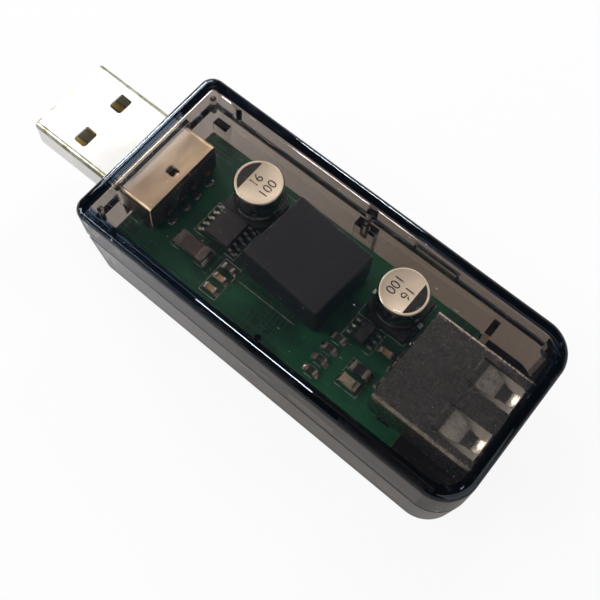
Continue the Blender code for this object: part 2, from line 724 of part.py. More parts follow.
def plug_inside(parent):
    """Plug insulator, a thick body with a tongue in front, and the four contacts laid in its grooves."""
    low = PLUG_BOTTOM + STEEL + SNUG
    high = PLUG_TOP - STEEL - SNUG
    tongue_top = low + PLUG_TONGUE_HEIGHT
    half = PLUG_WIDTH / 2 - STEEL - SNUG
    body_start = PLUG_BACK_X - PLUG_BODY_LENGTH
    body_end = PLUG_BACK_X + PLUG_BODY_OVERHANG - SNUG
    start = PLUG_TIP_X + PLUG_TONGUE_RECESS
    outline = (
        (start, low),
        (body_end, low),
        (body_end, high),
        (body_start, high),
        (body_start, tongue_top),
        (start, tongue_top),
    )
    piece = add_part("usb_plug_insulator", prism(outline, -half, half), WHITE_PLASTIC, parent)
    groove = CONTACT_THICKNESS + SNUG
    grooves = bmesh.new()
    for offset in CONTACT_PLACES:
        span = (offset - CONTACT_WIDTH / 2 - SNUG, offset + CONTACT_WIDTH / 2 + SNUG)
        reach = (start + CONTACT_SETBACK - SNUG, body_end + FIT)
        block(grooves, reach, span, (tongue_top - groove, tongue_top + SNUG))
    half = LOCK_WINDOW_WIDTH / 2
    end = PLUG_BACK_X - LOCK_WINDOW_SETBACK
    reach = (end - LOCK_WINDOW_LENGTH, end + SNUG)
    block(grooves, reach, (-half, half), (high - LOCK_TAB_DROP - SNUG, high + FIT))
    combine(piece, grooves, "DIFFERENCE", "grooves")
    level = tongue_top - CONTACT_THICKNESS / 2
    tail = plug_tail_x()
    for number, offset in enumerate(CONTACT_PLACES, 1):
        first = (start + CONTACT_SETBACK, level)
        path = [Vector(first)] + bend((tail, level), first, (tail, TAIL_END), CONTACT_THICKNESS)
        path.append(Vector((tail, TAIL_END)))
        shape = strip(path, CONTACT_THICKNESS, offset - CONTACT_WIDTH / 2, offset + CONTACT_WIDTH / 2)
        add_part(f"usb_plug_contact_{number}", shape, GOLD_LOOK, parent)


def prism(outline, low, high):
    """An outline in the XZ plane extruded across Y."""
    return loft([[(x, y, z) for x, z in outline] for y in (low, high)])


def spring_windows(windows, springs, level, inward):
    """Two spring tongues of one socket face: their windows and the bent strips that fill them."""
    tip = SOCKET_FRONT_X - SPRING_SETBACK
    root = tip - SPRING_LENGTH
    half = SPRING_WIDTH / 2
    for side in (-1, 1):
        y = SOCKET_Y + side * (SOCKET_WIDTH / 2 - SPRING_SIDE_GAP - SPRING_GAP - half)
        span = (y - half - SPRING_GAP, y + half + SPRING_GAP)
        block(windows, (root, tip + SPRING_GAP), span, sorted((level - inward * FIT, level + inward * FIT)))
        low = level + inward * SPRING_DROP
        path = (
            (root - STEEL * 2, level),
            (root, level),
            (tip - SPRING_TIP, low),
            (tip, low - inward * SPRING_DROP / 2),
        )
        append(springs, strip(path, SPRING_THICKNESS, y - half, y + half))


def socket_shell(parent):
    """Socket shell folded from steel, with two spring tongues each in its top and its bottom."""
    middle = SOCKET_BOTTOM + SOCKET_HEIGHT / 2
    tube = folded_tube(
        (SOCKET_BACK_X, SOCKET_FRONT_X),
        (SOCKET_Y, middle),
        (SOCKET_WIDTH, SOCKET_HEIGHT),
        SOCKET_EDGE_RADIUS,
        0.0,
    )
    shell = add_part("usb_socket_shell", tube, STEEL_LOOK, parent)
    windows = bmesh.new()
    springs = bmesh.new()
    spring_windows(windows, springs, SOCKET_TOP - STEEL / 2, -1)
    spring_windows(windows, springs, SOCKET_BOTTOM + STEEL / 2, 1)
    combine(shell, windows, "DIFFERENCE", "windows")
    combine(shell, springs, "UNION", "springs")
    legs = bmesh.new()
    reach = socket_leg_span()
    add_legs(legs, reach, SOCKET_Y, SOCKET_WIDTH / 2, TAIL_END, middle)
    combine(shell, legs, "UNION", "legs")


def socket_inside(parent):
    """Socket insulator, a base with a tongue near the top, and the four spring contacts under it."""
    low = SOCKET_BOTTOM + STEEL + SNUG
    high = SOCKET_TOP - STEEL - SNUG
    half = SOCKET_WIDTH / 2 - STEEL - SNUG
    start = SOCKET_BACK_X + SNUG
    front = SOCKET_BACK_X + SOCKET_BASE_LENGTH
    tip = SOCKET_FRONT_X - SOCKET_TONGUE_RECESS
    tongue_top = high - SOCKET_TONGUE_DROP
    tongue_low = tongue_top - SOCKET_TONGUE_HEIGHT
    base = ((start, low), (front, low), (front, high), (start, high))
    shape = prism(base, SOCKET_Y - half, SOCKET_Y + half)
    piece = add_part("usb_socket_insulator", shape, WHITE_PLASTIC, parent)
    nose = SOCKET_TONGUE_HEIGHT / 4
    outline = (
        (front - ROOT, tongue_low),
        (tip - nose, tongue_low),
        (tip, tongue_low + nose),
        (tip, tongue_top - nose),
        (tip - nose, tongue_top),
        (front - ROOT, tongue_top),
    )
    width = SOCKET_WIDTH / 2 - STEEL - SOCKET_TONGUE_SIDE_GAP
    combine(piece, prism(outline, SOCKET_Y - width, SOCKET_Y + width), "UNION", "tongue")
    level = tongue_low - SNUG - CONTACT_THICKNESS / 2
    tunnels = bmesh.new()
    for offset in CONTACT_PLACES:
        y = SOCKET_Y + offset
        reach = CONTACT_THICKNESS / 2 + SNUG
        span = (y - CONTACT_WIDTH / 2 - SNUG, y + CONTACT_WIDTH / 2 + SNUG)
        block(tunnels, (start - FIT, front + FIT), span, (level - reach, level + reach / 2))
    combine(piece, tunnels, "DIFFERENCE", "tunnels")
    tail = socket_tail_x()
    for number, offset in enumerate(CONTACT_PLACES, 1):
        y = SOCKET_Y + offset
        foot = (tail, TAIL_END)
        leaves = (front + FIT, level)
        crest = ((front + tip) / 2, level - SPRING_BULGE)
        path = [Vector(foot)] + bend((tail, level), foot, leaves, CONTACT_THICKNESS)
        path += [Vector(leaves), Vector(crest), Vector((tip - nose * 2, level))]
        shape = strip(path, CONTACT_THICKNESS, y - CONTACT_WIDTH / 2, y + CONTACT_WIDTH / 2)
        add_part(f"usb_socket_contact_{number}", shape, GOLD_LOOK, parent)


def converter_pin_places():
    """Offsets of the converter's four pins along its length."""
    return [(index - 1.5) * CONVERTER_PITCH for index in range(4)]


def converter_tail_y():
    """Where the converter's pins go down, behind its far side."""
    return CONVERTER_DEPTH / 2 + CONVERTER_PIN_REACH


def converter(parent):
    """The potted power converter lies on the board, and its pins leave one side and bend down."""
    place = holder("converter_place", parent, (CONVERTER_X, CONVERTER_Y, 0), CONVERTER_YAW)
    shape = bmesh.new()
    half_x = CONVERTER_LENGTH / 2
    half_y = CONVERTER_DEPTH / 2
    block(shape, (-half_x, half_x), (-half_y, half_y), (SEAT, SEAT + CONVERTER_HEIGHT))
    edges = shape.edges[:]
    bmesh.ops.bevel(shape, geom=edges, offset=CONVERTER_EDGE, segments=2, profile=0.5, affect="EDGES")
    add_part("power_converter_block", shape, BLACK_PLASTIC, place)
    level = SEAT + CONVERTER_HEIGHT / 2
    tail = converter_tail_y()
    turn = Matrix.Rotation(math.pi / 2, 4, "Z")
    for number, offset in enumerate(converter_pin_places(), 1):
        first = (half_y + SNUG, level)
        path = [Vector(first)] + bend((tail, level), first, (tail, TAIL_END), CONVERTER_PIN_WIDTH / 2)
        path.append(Vector((tail, TAIL_END)))
        half = CONVERTER_PIN_WIDTH / 2
        pin = strip(path, CONVERTER_PIN_THICKNESS, -offset - half, -offset + half)
        bmesh.ops.transform(pin, matrix=turn, verts=pin.verts[:])
        add_part(f"power_converter_pin_{number}", pin, TIN_LOOK, place)


def capacitor(number, where, facing, parent):
    """An aluminium can with a groove near its foot, on a square plastic base with two cut corners."""
    place = holder(f"capacitor_{number}_place", parent, (*where, 0), facing)
    base_top = SEAT + CAN_BASE_HEIGHT
    low = base_top + SNUG
    groove = low + CAN_GROOVE_HEIGHT
    top = low + CAN_HEIGHT
    edge = CAN_EDGE
    profile = [(0, low), (CAN_RADIUS - edge / 2, low), (CAN_RADIUS, low + edge / 2)]
    waist = CAN_RADIUS - CAN_GROOVE_DEPTH
    profile += [(CAN_RADIUS, groove - edge), (waist, groove), (CAN_RADIUS, groove + edge)]
    for step in range(EDGE_STEPS + 1):
        turn = math.pi / 2 * step / EDGE_STEPS
        profile.append((CAN_RADIUS - edge * (1 - math.cos(turn)), top - edge * (1 - math.sin(turn))))
    profile.append((0, top))
    add_part(f"capacitor_can_{number}", turned(profile, CAN_SIDES), CAN_LOOK, place)
    half = CAN_BASE_SIDE / 2
    cut = CAN_BASE_CUT
    outline = (
        (-half, -half),
        (half - cut, -half),
        (half, cut - half),
        (half, half - cut),
        (half - cut, half),
        (-half, half),
    )
    rings = [[(x, y, z) for x, y in outline] for z in (SEAT, base_top)]
    base = add_part(f"capacitor_base_{number}", loft(rings), BLACK_PLASTIC, place)
    grooves = bmesh.new()
    for side in (-1, 1):
        inner = side * (CAN_LEAD_INNER - SNUG)
        outer = side * (half + FIT)
        width = CAN_LEAD_WIDTH / 2 + SNUG
        height = (SEAT - FIT, SEAT + CAN_LEAD_THICKNESS + SNUG)
        block(grooves, sorted((inner, outer)), (-width, width), height)
        lead = bmesh.new()
        width = CAN_LEAD_WIDTH / 2
        reach = sorted((side * CAN_LEAD_INNER, side * (half + CAN_LEAD_REACH)))
        block(lead, reach, (-width, width), (SEAT, SEAT + CAN_LEAD_THICKNESS))
        label = "plus" if side > 0 else "minus"
        add_part(f"capacitor_{number}_lead_{label}", lead, TIN_LOOK, place)
    combine(base, grooves, "DIFFERENCE", "grooves")


def chip_length(pitch, leads, margin):
    """Length of a moulded chip with a row of leads along each side."""
    return (leads - 1) * pitch + LEAD_WIDTH + 2 * margin


def moulded_chip(name, where, size, pitch, leads, parent, under=False):
    """A moulded chip with gull wing leads on two sides, on the board or hung under it."""
    place = holder(name + "_place", parent, (*where, 0))
    width, length, height = size
    if under:
        place.rotation_euler = (0, math.pi, math.pi / 2)
        place.location.z = BOARD_BOTTOM
    else:
        place.location.z = BOARD_TOP
    low = SNUG * 2
    middle = (low + height) / 2
    rings = []
    for z, inset in ((low, MOULD_DRAFT), (middle, 0.0), (height, MOULD_DRAFT)):
        x = width / 2 - inset
        y = length / 2 - inset
        rings.append([(-x, -y, z), (x, -y, z), (x, y, z), (-x, y, z)])
    piece = add_part(name, loft(rings), BLACK_PLASTIC, place)
    shape = bmesh.new()
    foot_level = SNUG + LEAD_THICKNESS / 2
    knee = width / 2 + LEAD_SHOULDER
    for index in range(leads):
        y = (index - (leads - 1) / 2) * pitch
        for side in (-1, 1):
            path = (
                (side * (width / 2 - ROOT), middle),
                (side * knee, middle),
                (side * (knee + LEAD_THICKNESS), foot_level),
                (side * (knee + LEAD_THICKNESS + LEAD_FOOT), foot_level),
            )
            append(shape, strip(path, LEAD_THICKNESS, y - LEAD_WIDTH / 2, y + LEAD_WIDTH / 2))
    combine(piece, shape, "UNION", "leads")


def moulded_chips(parent):
    """The line chip and the regulator beside the capacitors, and the isolator under the board."""
    length = chip_length(LINE_CHIP_PITCH, LINE_CHIP_LEADS, LINE_CHIP_MARGIN)
    y = CAPACITOR_1_Y - CAN_BASE_SIDE / 2 - LINE_CHIP_GAP - length / 2
    size = (LINE_CHIP_WIDTH, length, LINE_CHIP_HEIGHT)
    where = (CAPACITOR_1_X - LINE_CHIP_SHIFT, y)
    moulded_chip("usb_line_chip", where, size, LINE_CHIP_PITCH, LINE_CHIP_LEADS, parent)
    length = chip_length(REGULATOR_PITCH, REGULATOR_LEADS, REGULATOR_MARGIN)
    y = CAPACITOR_2_Y - CAN_BASE_SIDE / 2 - REGULATOR_GAP - length / 2
    size = (REGULATOR_WIDTH, length, REGULATOR_HEIGHT)
    where = (CAPACITOR_2_X - REGULATOR_SHIFT, y)
    moulded_chip("regulator_chip", where, size, REGULATOR_PITCH, REGULATOR_LEADS, parent)
    length = chip_length(ISOLATOR_PITCH, ISOLATOR_LEADS, ISOLATOR_MARGIN)
    size = (ISOLATOR_WIDTH, length, ISOLATOR_HEIGHT)
    where = (CONVERTER_X, ISOLATOR_Y)
    moulded_chip("isolator_chip", where, size, ISOLATOR_PITCH, ISOLATOR_LEADS, parent, under=True)


def chip_part(name, where, size, look, parent):
    """A small chip part whose metal end caps stand a little proud of its body."""
    place = holder(name + "_place", parent, (*where, SEAT))
    length, width, height = size
    cap = length * CHIP_CAP_SHARE
    step = CHIP_CAP_STEP
    rings = []
    for x, inset in (
        (-length / 2, 0),
        (cap - length / 2, 0),
        (cap - length / 2 + step, step),
        (length / 2 - cap - step, step),
        (length / 2 - cap, 0),
        (length / 2, 0),
    ):
        y = width / 2 - inset
        rings.append([(x, -y, inset), (x, y, inset), (x, y, height - inset), (x, -y, height - inset)])
    return add_part(name, loft(rings), look, place)


def small_parts(parent):
    """The fuse, the columns of chip parts, the diode and the indicator on the board."""
    chip_part("resettable_fuse", (CAPACITOR_1_X - FUSE_SHIFT, FUSE_Y), FUSE, RED_CERAMIC, parent)
    x = CONVERTER_X - CONVERTER_LENGTH / 2 - LEFT_COLUMN_GAP
    chip_part("series_resistor", (x, LEFT_COLUMN_Y), CHIP, BLACK_PLASTIC, parent)
    for number in (1, 2):
        where = (x, LEFT_COLUMN_Y - number * LEFT_COLUMN_PITCH)
        chip_part(f"ceramic_capacitor_{number}", where, CHIP, BROWN_CERAMIC, parent)
    x = CONVERTER_X + CONVERTER_LENGTH / 2 + RIGHT_COLUMN_GAP
    for number in range(4):
        where = (x, RIGHT_COLUMN_Y - number * RIGHT_COLUMN_PITCH)
        chip_part(f"chip_resistor_{number + 1}", where, CHIP, BLACK_PLASTIC, parent)
    chip_part("protection_diode", (CAPACITOR_2_X + DIODE_SHIFT, DIODE_Y), LARGE_CHIP, BLACK_PLASTIC, parent)
    where = (SOCKET_BACK_X - SOCKET_CAPACITOR_GAP, SOCKET_CAPACITOR_Y)
    chip_part("socket_side_capacitor", where, CHIP, BROWN_CERAMIC, parent)
    lamp = chip_part("status_led", (CAPACITOR_2_X + LED_SHIFT, LED_Y), LARGE_CHIP, LED_LOOK, parent)
    length, width, height = LARGE_CHIP
    rings = []
    for z, draft in ((height - ROOT, 0.0), (height, 0.0), (height + LED_DOME, MOULD_DRAFT)):
        x = length / 2 - LED_DOME_INSET - draft
        y = width / 2 - CHIP_CAP_STEP * 2 - draft
        rings.append([(-x, -y, z), (x, -y, z), (x, y, z), (-x, y, z)])
    combine(lamp, loft(rings), "UNION", "dome")


def build():
    """The whole object, every piece carried by one empty at its origin."""
    for old in list(bpy.data.objects):
        bpy.data.objects.remove(old, do_unlink=True)
    bpy.context.scene.unit_settings.system = "METRIC"
    root = holder("usb_isolator", None, (0, 0, 0))
    bottom_shell(root)
    board(root)
    plug_shell(root)
    plug_inside(root)
    socket_shell(root)
    socket_inside(root)
    converter(root)
    capacitor(1, (CAPACITOR_1_X, CAPACITOR_1_Y), 0, root)
    capacitor(2, (CAPACITOR_2_X, CAPACITOR_2_Y), 180, root)
    moulded_chips(root)
    small_parts(root)
    top_shell(root)


build()
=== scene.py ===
"""Looks of a small isolator stick with a smoked see-through case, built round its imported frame."""

import math

import bmesh
import bpy
from mathutils import Euler, Matrix, Vector


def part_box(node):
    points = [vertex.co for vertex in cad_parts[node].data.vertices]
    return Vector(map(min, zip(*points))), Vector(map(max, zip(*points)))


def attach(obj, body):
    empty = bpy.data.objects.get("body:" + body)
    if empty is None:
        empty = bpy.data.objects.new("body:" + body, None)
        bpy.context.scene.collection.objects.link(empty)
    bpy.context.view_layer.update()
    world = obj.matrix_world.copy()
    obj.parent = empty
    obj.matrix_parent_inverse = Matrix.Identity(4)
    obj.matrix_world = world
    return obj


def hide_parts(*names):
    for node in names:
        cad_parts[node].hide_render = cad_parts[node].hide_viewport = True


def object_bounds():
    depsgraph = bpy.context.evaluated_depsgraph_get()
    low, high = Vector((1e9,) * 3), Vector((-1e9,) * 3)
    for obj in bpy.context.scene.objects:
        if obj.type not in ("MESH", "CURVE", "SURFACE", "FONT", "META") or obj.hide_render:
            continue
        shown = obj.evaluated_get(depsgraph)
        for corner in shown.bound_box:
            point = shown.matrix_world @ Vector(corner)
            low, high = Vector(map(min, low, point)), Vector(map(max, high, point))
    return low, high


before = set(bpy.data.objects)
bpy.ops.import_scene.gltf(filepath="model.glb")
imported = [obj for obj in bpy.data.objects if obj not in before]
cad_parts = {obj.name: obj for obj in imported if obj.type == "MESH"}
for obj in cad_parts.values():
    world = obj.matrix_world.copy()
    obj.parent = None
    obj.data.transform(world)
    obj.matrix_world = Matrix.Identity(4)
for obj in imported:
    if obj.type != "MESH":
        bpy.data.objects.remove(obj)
cad_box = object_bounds()

# Circuit board: glass fibre laminate with green solder mask on both faces, bare at its sawn edges.
# Copper areas and tracks show through the mask as lighter patches and lines.
BOARD_LOW, BOARD_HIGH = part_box("circuit_board")
MASK_GREEN = (0.0034, 0.021, 0.0125, 1)
MASK_OVER_COPPER = (0.009, 0.090, 0.040, 1)
MASK_ROUGHNESS = (0.22, 0.42)
LAMINATE = (0.30, 0.27, 0.13, 1)
COPPER_RISE = 0.00003
POUR_SCALE = 95.0
POUR_EDGE = (0.44, 0.60)
TRACK_PITCH = 0.00062
TRACK_RUN = 0.0046
TRACK_EDGE = (0.27, 0.23)
TRACK_STRENGTH = 0.38
LANE_SHIFT = 0.37
EMPTY_SHARE = 0.45
WEAVE_SCALE = 2600.0


def new_finish(name):
    """A material with an empty shader, and its nodes ready to be wired."""
    material = bpy.data.materials.new(name)
    material.use_nodes = True
    return material


def wire(material, kind, inputs=None, **settings):
    """A node of a material, with each input set to a value or joined to another node's output."""
    node = material.node_tree.nodes.new("ShaderNode" + kind)
    for key, value in settings.items():
        setattr(node, key, value)
    for key, value in (inputs or {}).items():
        if isinstance(value, bpy.types.NodeSocket):
            material.node_tree.links.new(value, node.inputs[key])
        else:
            node.inputs[key].default_value = value
    return node


def shader_of(material, **values):
    """The material's main shader, with the values given by socket name."""
    shader = material.node_tree.nodes["Principled BSDF"]
    for key, value in values.items():
        socket = shader.inputs[key.replace("_", " ")]
        if isinstance(value, bpy.types.NodeSocket):
            material.node_tree.links.new(value, socket)
        else:
            socket.default_value = value
    return shader


def position(material, turn=0.0, stretch=(1, 1, 1)):
    """Object coordinates, turned and stretched so that a pattern lies right on its piece."""
    where = wire(material, "TexCoord").outputs["Object"]
    inputs = {"Vector": where, "Rotation": (0, 0, turn), "Scale": stretch}
    return wire(material, "Mapping", inputs).outputs["Vector"]


def coordinate(material, axis):
    """One coordinate on the piece, in metres."""
    return wire(material, "SeparateXYZ", {"Vector": position(material)}).outputs[axis]


def upward(material):
    """How far the surface faces up, from -1 to 1."""
    normal = wire(material, "NewGeometry").outputs["Normal"]
    return wire(material, "SeparateXYZ", {"Vector": normal}).outputs["Z"]


def grain(material, where, scale, detail=4.0, roughness=0.6):
    """Soft noise between 0 and 1 at a scale given in bumps per metre."""
    inputs = {"Vector": where, "Scale": scale, "Detail": detail, "Roughness": roughness}
    return wire(material, "TexNoise", inputs).outputs["Fac"]


def between(material, value, low, high, start=0.0, end=1.0):
    """A value mapped from one span to another and kept inside it."""
    inputs = {"Value": value, "From Min": low, "From Max": high, "To Min": start, "To Max": end}
    return wire(material, "MapRange", inputs).outputs["Result"]


def blend_colour(material, share, first, second):
    """One colour laid over another by a share from 0 to 1."""
    inputs = {0: share, 6: first, 7: second}
    return wire(material, "Mix", inputs, data_type="RGBA").outputs[2]


def relief(material, height, depth):
    """A surface normal from a height pattern whose full range is a depth in metres."""
    inputs = {"Height": height, "Distance": depth, "Strength": 1.0}
    return wire(material, "Bump", inputs).outputs["Normal"]


def reckon(material, operation, first, second=0.0):
    """One step of arithmetic on a pattern."""
    return wire(material, "Math", {0: first, 1: second}, operation=operation).outputs[0]


def dress(node, material):
    """Gives a CAD node its finished material."""
    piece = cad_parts[node]
    piece.data.materials.clear()
    piece.data.materials.append(material)


def tracks(material, along, across):
    """Straight tracks in one direction: thin lanes, each in stretches that are there or not."""
    lane = reckon(material, "MULTIPLY", coordinate(material, across), 1 / TRACK_PITCH)
    stretch = reckon(material, "MULTIPLY", coordinate(material, along), 1 / TRACK_RUN)
    number = reckon(material, "FLOOR", lane)
    shifted = reckon(material, "ADD", stretch, reckon(material, "MULTIPLY", number, LANE_SHIFT))
    cell = wire(material, "CombineXYZ", {0: number, 1: reckon(material, "FLOOR", shifted)})
    chance = wire(material, "TexWhiteNoise", {"Vector": cell.outputs[0]}).outputs["Value"]
    there = reckon(material, "GREATER_THAN", chance, EMPTY_SHARE)
    off_centre = reckon(material, "SUBTRACT", reckon(material, "FRACT", lane), 0.5)
    line = between(material, reckon(material, "ABSOLUTE", off_centre), *TRACK_EDGE)
    return reckon(material, "MULTIPLY", line, there)


mask = new_finish("board_solder_mask")
edge = reckon(mask, "LESS_THAN", reckon(mask, "ABSOLUTE", upward(mask)), 0.5)
cloud = grain(mask, position(mask, stretch=(1, 1.6, 1)), POUR_SCALE, 2.0, 0.4)
pour = between(mask, cloud, *POUR_EDGE)
lanes = reckon(mask, "MAXIMUM", tracks(mask, "X", "Y"), tracks(mask, "Y", "X"))
copper = reckon(mask, "MAXIMUM", pour, reckon(mask, "MULTIPLY", lanes, TRACK_STRENGTH))
weave = grain(mask, position(mask, stretch=(1, 6, 1)), WEAVE_SCALE, 2.0)
mask_colour = blend_colour(mask, copper, MASK_GREEN, MASK_OVER_COPPER)
shader_of(
    mask,
    Base_Color=blend_colour(mask, edge, mask_colour, LAMINATE),
    Roughness=between(mask, weave, 0.0, 1.0, *MASK_ROUGHNESS),
    Normal=relief(mask, copper, COPPER_RISE),
)
dress("circuit_board", mask)

# Silkscreen: pale ink printed on the board, as thin frames and lines beside the parts.
# It is a little worn, so it fades in places.
INK = (0.34, 0.38, 0.35, 1)
INK_FADED = (0.102, 0.114, 0.105, 1)
INK_LINE = 0.00010
INK_HEIGHT = 0.00002
BOARD_FACE = BOARD_HIGH[2]
FRAMED_PARTS = (
    (("series_resistor", "ceramic_capacitor_1", "ceramic_capacitor_2"), 0.00045, 0.0),
    (("resettable_fuse",), 0.00028, 0.5),
    (("usb_line_chip",), 0.00030, 0.5),
    (("status_led", "protection_diode"), 0.00035, 0.0),
    (("regulator_chip",), 0.00030, 0.5),
    (("capacitor_base_1",), 0.00020, 0.3),
    (("capacitor_base_2",), 0.00020, 0.3),
)
RESISTOR_ROOM, RESISTOR_INSET = 0.00025, 0.0003
CONVERTER_ROOM, CONVERTER_INSETS = 0.0007, (0.0004, 0.003)
NEAR_EDGE_ROOM, NEAR_EDGE_INSETS = 0.0006, (0.0085, 0.0045)


def bar(shape, x, y, z):
    """Adds a square bar between the two values of each pair."""
    spans = [sorted(pair) for pair in (x, y, z)]
    size = Matrix.Diagonal([high - low for low, high in spans] + [1])
    middle = Matrix.Translation([(low + high) / 2 for low, high in spans])
    return bmesh.ops.create_cube(shape, size=1, matrix=middle @ size)["verts"]


def to_object(shape, name):
    """A shape as an object in the scene."""
    mesh = bpy.data.meshes.new(name)
    shape.to_mesh(mesh)
    shape.free()
    piece = bpy.data.objects.new(name, mesh)
    bpy.context.scene.collection.objects.link(piece)
    return piece


def fit(piece, material, slot, *nodes):
    """Gives a new piece its material, its place on the stick and the CAD nodes it stands for."""
    piece.data.materials.clear()
    piece.data.materials.append(material)
    if nodes:
        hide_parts(*nodes)
    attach(piece, "root")


def ink_line(shape, start, finish):
    """Adds one straight printed line along X or Y."""
    low = [min(a, b) - INK_LINE / 2 for a, b in zip(start, finish)]
    high = [max(a, b) + INK_LINE / 2 for a, b in zip(start, finish)]
    bar(shape, (low[0], high[0]), (low[1], high[1]), (BOARD_FACE, BOARD_FACE + INK_HEIGHT))


def ink_frame(shape, low, high, open_share):
    """Adds a printed frame, whose long sides may be open in the middle."""
    for y in (low[1], high[1]):
        gap = (high[0] - low[0]) * open_share / 2
        middle = (low[0] + high[0]) / 2
        ink_line(shape, (low[0], y), (middle - gap, y))
        ink_line(shape, (middle + gap, y), (high[0], y))
    for x in (low[0], high[0]):
        ink_line(shape, (x, low[1]), (x, high[1]))


ink = bmesh.new()
for names, room, open_share in FRAMED_PARTS:
    lows, highs = zip(*(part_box(name) for name in names))
    low = [min(corner[axis] for corner in lows) - room for axis in (0, 1)]
    high = [max(corner[axis] for corner in highs) + room for axis in (0, 1)]
    ink_frame(ink, low, high, open_share)
for number in range(1, 5):
    low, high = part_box(f"chip_resistor_{number}")
    for y in (low[1] - RESISTOR_ROOM, high[1] + RESISTOR_ROOM):
        ink_line(ink, (low[0] + RESISTOR_INSET, y), (high[0] - RESISTOR_INSET, y))
low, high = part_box("power_converter_block")
for start, finish, y, insets in (
    (low[0], high[0], low[1] - CONVERTER_ROOM, CONVERTER_INSETS),
    (BOARD_LOW[0], BOARD_HIGH[0], BOARD_LOW[1] + NEAR_EDGE_ROOM, NEAR_EDGE_INSETS),
):
    ink_line(ink, (start + insets[0], y), (finish - insets[1], y))
print_ink = new_finish("silkscreen_ink")
fade = grain(print_ink, position(print_ink), 1500.0, 3.0)
shader_of(
    print_ink,
    Base_Color=blend_colour(print_ink, between(print_ink, fade, 0.38, 0.62), INK, INK_FADED),
    Roughness=between(print_ink, fade, 0.0, 1.0, 0.5, 0.7),
)
fit(to_object(ink, "board_silkscreen"), print_ink, "white_insulator")

# Plug shell: thin steel strip, folded round the insulator and nickel plated, with punched windows.
# It has a faint brushed lay along its length and painted shade on its bends. Its soldered end is
# tanned by heat, with a painted sheen across the tan and painted shade on the sheet's sides there.
SHEET = 0.0003
PLUG_NICKEL = (0.88, 0.86, 0.81)
# Painted shade: the plug's bends are darkened as if they caught no light.
PLUG_BEND_SHADE = (0.20, 0.19, 0.12, 1)
# Light and dark tan of the painted sheen, and painted shade for the sheet's sides.
TAN_LIGHT, TAN_DARK = (0.88, 0.73, 0.54, 1), (0.52, 0.40, 0.29, 1)
SIDE_SHADE_PAINTED = (0.07, 0.06, 0.05, 1)
RUBBED = (0.92, 0.90, 0.86, 1)
WINDOW_CORNER = 0.00042
WINDOW_SPAN, WINDOW_HALF_WIDTH = (-0.0405, -0.0222), 0.0052
CASE_MOUTH = -0.0257
STAIN_SPAN = (CASE_MOUTH - 0.0004, CASE_MOUTH + 0.0006)
WELD = 0.000004
FLAT_WITHIN = math.radians(2)
BENT = 0.985
SORT_LINE = Vector((1.0, 0.618034, 0.414214))


def darker(colour, share):
    """A colour at a share of its strength, with full cover."""
    return (*(share * part for part in colour), 1)


def colour_so_far(material):
    """The pattern that the material's colour comes from at this stage."""
    return shader_of(material).inputs["Base Color"].links[0].from_socket


def plated_steel(name, colour, roughness, wear, dull=0.55, patch=260.0, spread=0.14):
    """Plated sheet steel with a faint brushed lay, dull patches and scratches."""
    finish = new_finish(name)
    lay = grain(finish, position(finish, stretch=(30, 900, 900)), 10.0, 3.0)
    patches = grain(finish, position(finish), patch, 5.0)
    dulled = between(finish, patches, 0.40, 0.75)
    worn = blend_colour(finish, dulled, (*colour, 1), darker(colour, dull))
    shader_of(
        finish,
        Base_Color=blend_colour(finish, between(finish, lay, 0.3, 0.8, 0.0, wear), worn, RUBBED),
        Metallic=1.0,
        Roughness=between(finish, patches, 0.2, 0.8, roughness, roughness + spread),
        Normal=relief(finish, lay, 0.000004),
    )
    return finish


def settle(piece):
    """Turns a piece's modifiers into its own mesh."""
    depsgraph = bpy.context.evaluated_depsgraph_get()
    mesh = bpy.data.meshes.new_from_object(piece.evaluated_get(depsgraph))
    piece.modifiers.clear()
    old = piece.data
    piece.data = mesh
    bpy.data.meshes.remove(old)


def put_in_order(shape):
    """Sorts a shape's parts by place, because a cut leaves them in another order on each run."""
    shape.verts.sort(key=lambda vert: SORT_LINE.dot(vert.co))
    shape.edges.sort(key=lambda edge: SORT_LINE.dot(edge.verts[0].co + edge.verts[1].co))
    shape.faces.sort(key=lambda face: SORT_LINE.dot(face.calc_center_median()))


def soften(piece, width, steps=2, angle=40, cut=None, rim=None):
    """Small radii on a piece's sharp edges, with its flats kept flat in the shading."""
    shape = bmesh.new()
    shape.from_mesh(piece.data)
    put_in_order(shape)
    bmesh.ops.remove_doubles(shape, verts=shape.verts[:], dist=WELD)
    put_in_order(shape)
    bmesh.ops.dissolve_limit(
        shape, angle_limit=FLAT_WITHIN, verts=shape.verts[:], edges=shape.edges[:]
    )
    if cut:
        cut(shape)
    shape.to_mesh(piece.data)
    shape.free()
    rounding = piece.modifiers.new("edges", "BEVEL")
    rounding.width = width
    rounding.segments = steps
    rounding.limit_method = "ANGLE"
    rounding.angle_limit = math.radians(angle)
    rounding.use_clamp_overlap = True
    settle(piece)
    if rim:
        rim(piece)
    piece.data.shade_smooth()
    piece.data.set_sharp_from_angle(angle=math.radians(angle))
    even = piece.modifiers.new("flats", "WEIGHTED_NORMAL")
    even.keep_sharp = True
    even.weight = 100
    settle(piece)


def finer(node, width, material, slot, steps=2, cut=None):
    """A copy of a CAD node with small radii and smooth bends, which stands for it."""
    piece = bpy.data.objects.new(node + "_formed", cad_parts[node].data.copy())
    bpy.context.scene.collection.objects.link(piece)
    soften(piece, width, steps, cut=cut)
    fit(piece, material, slot, node)
    return piece


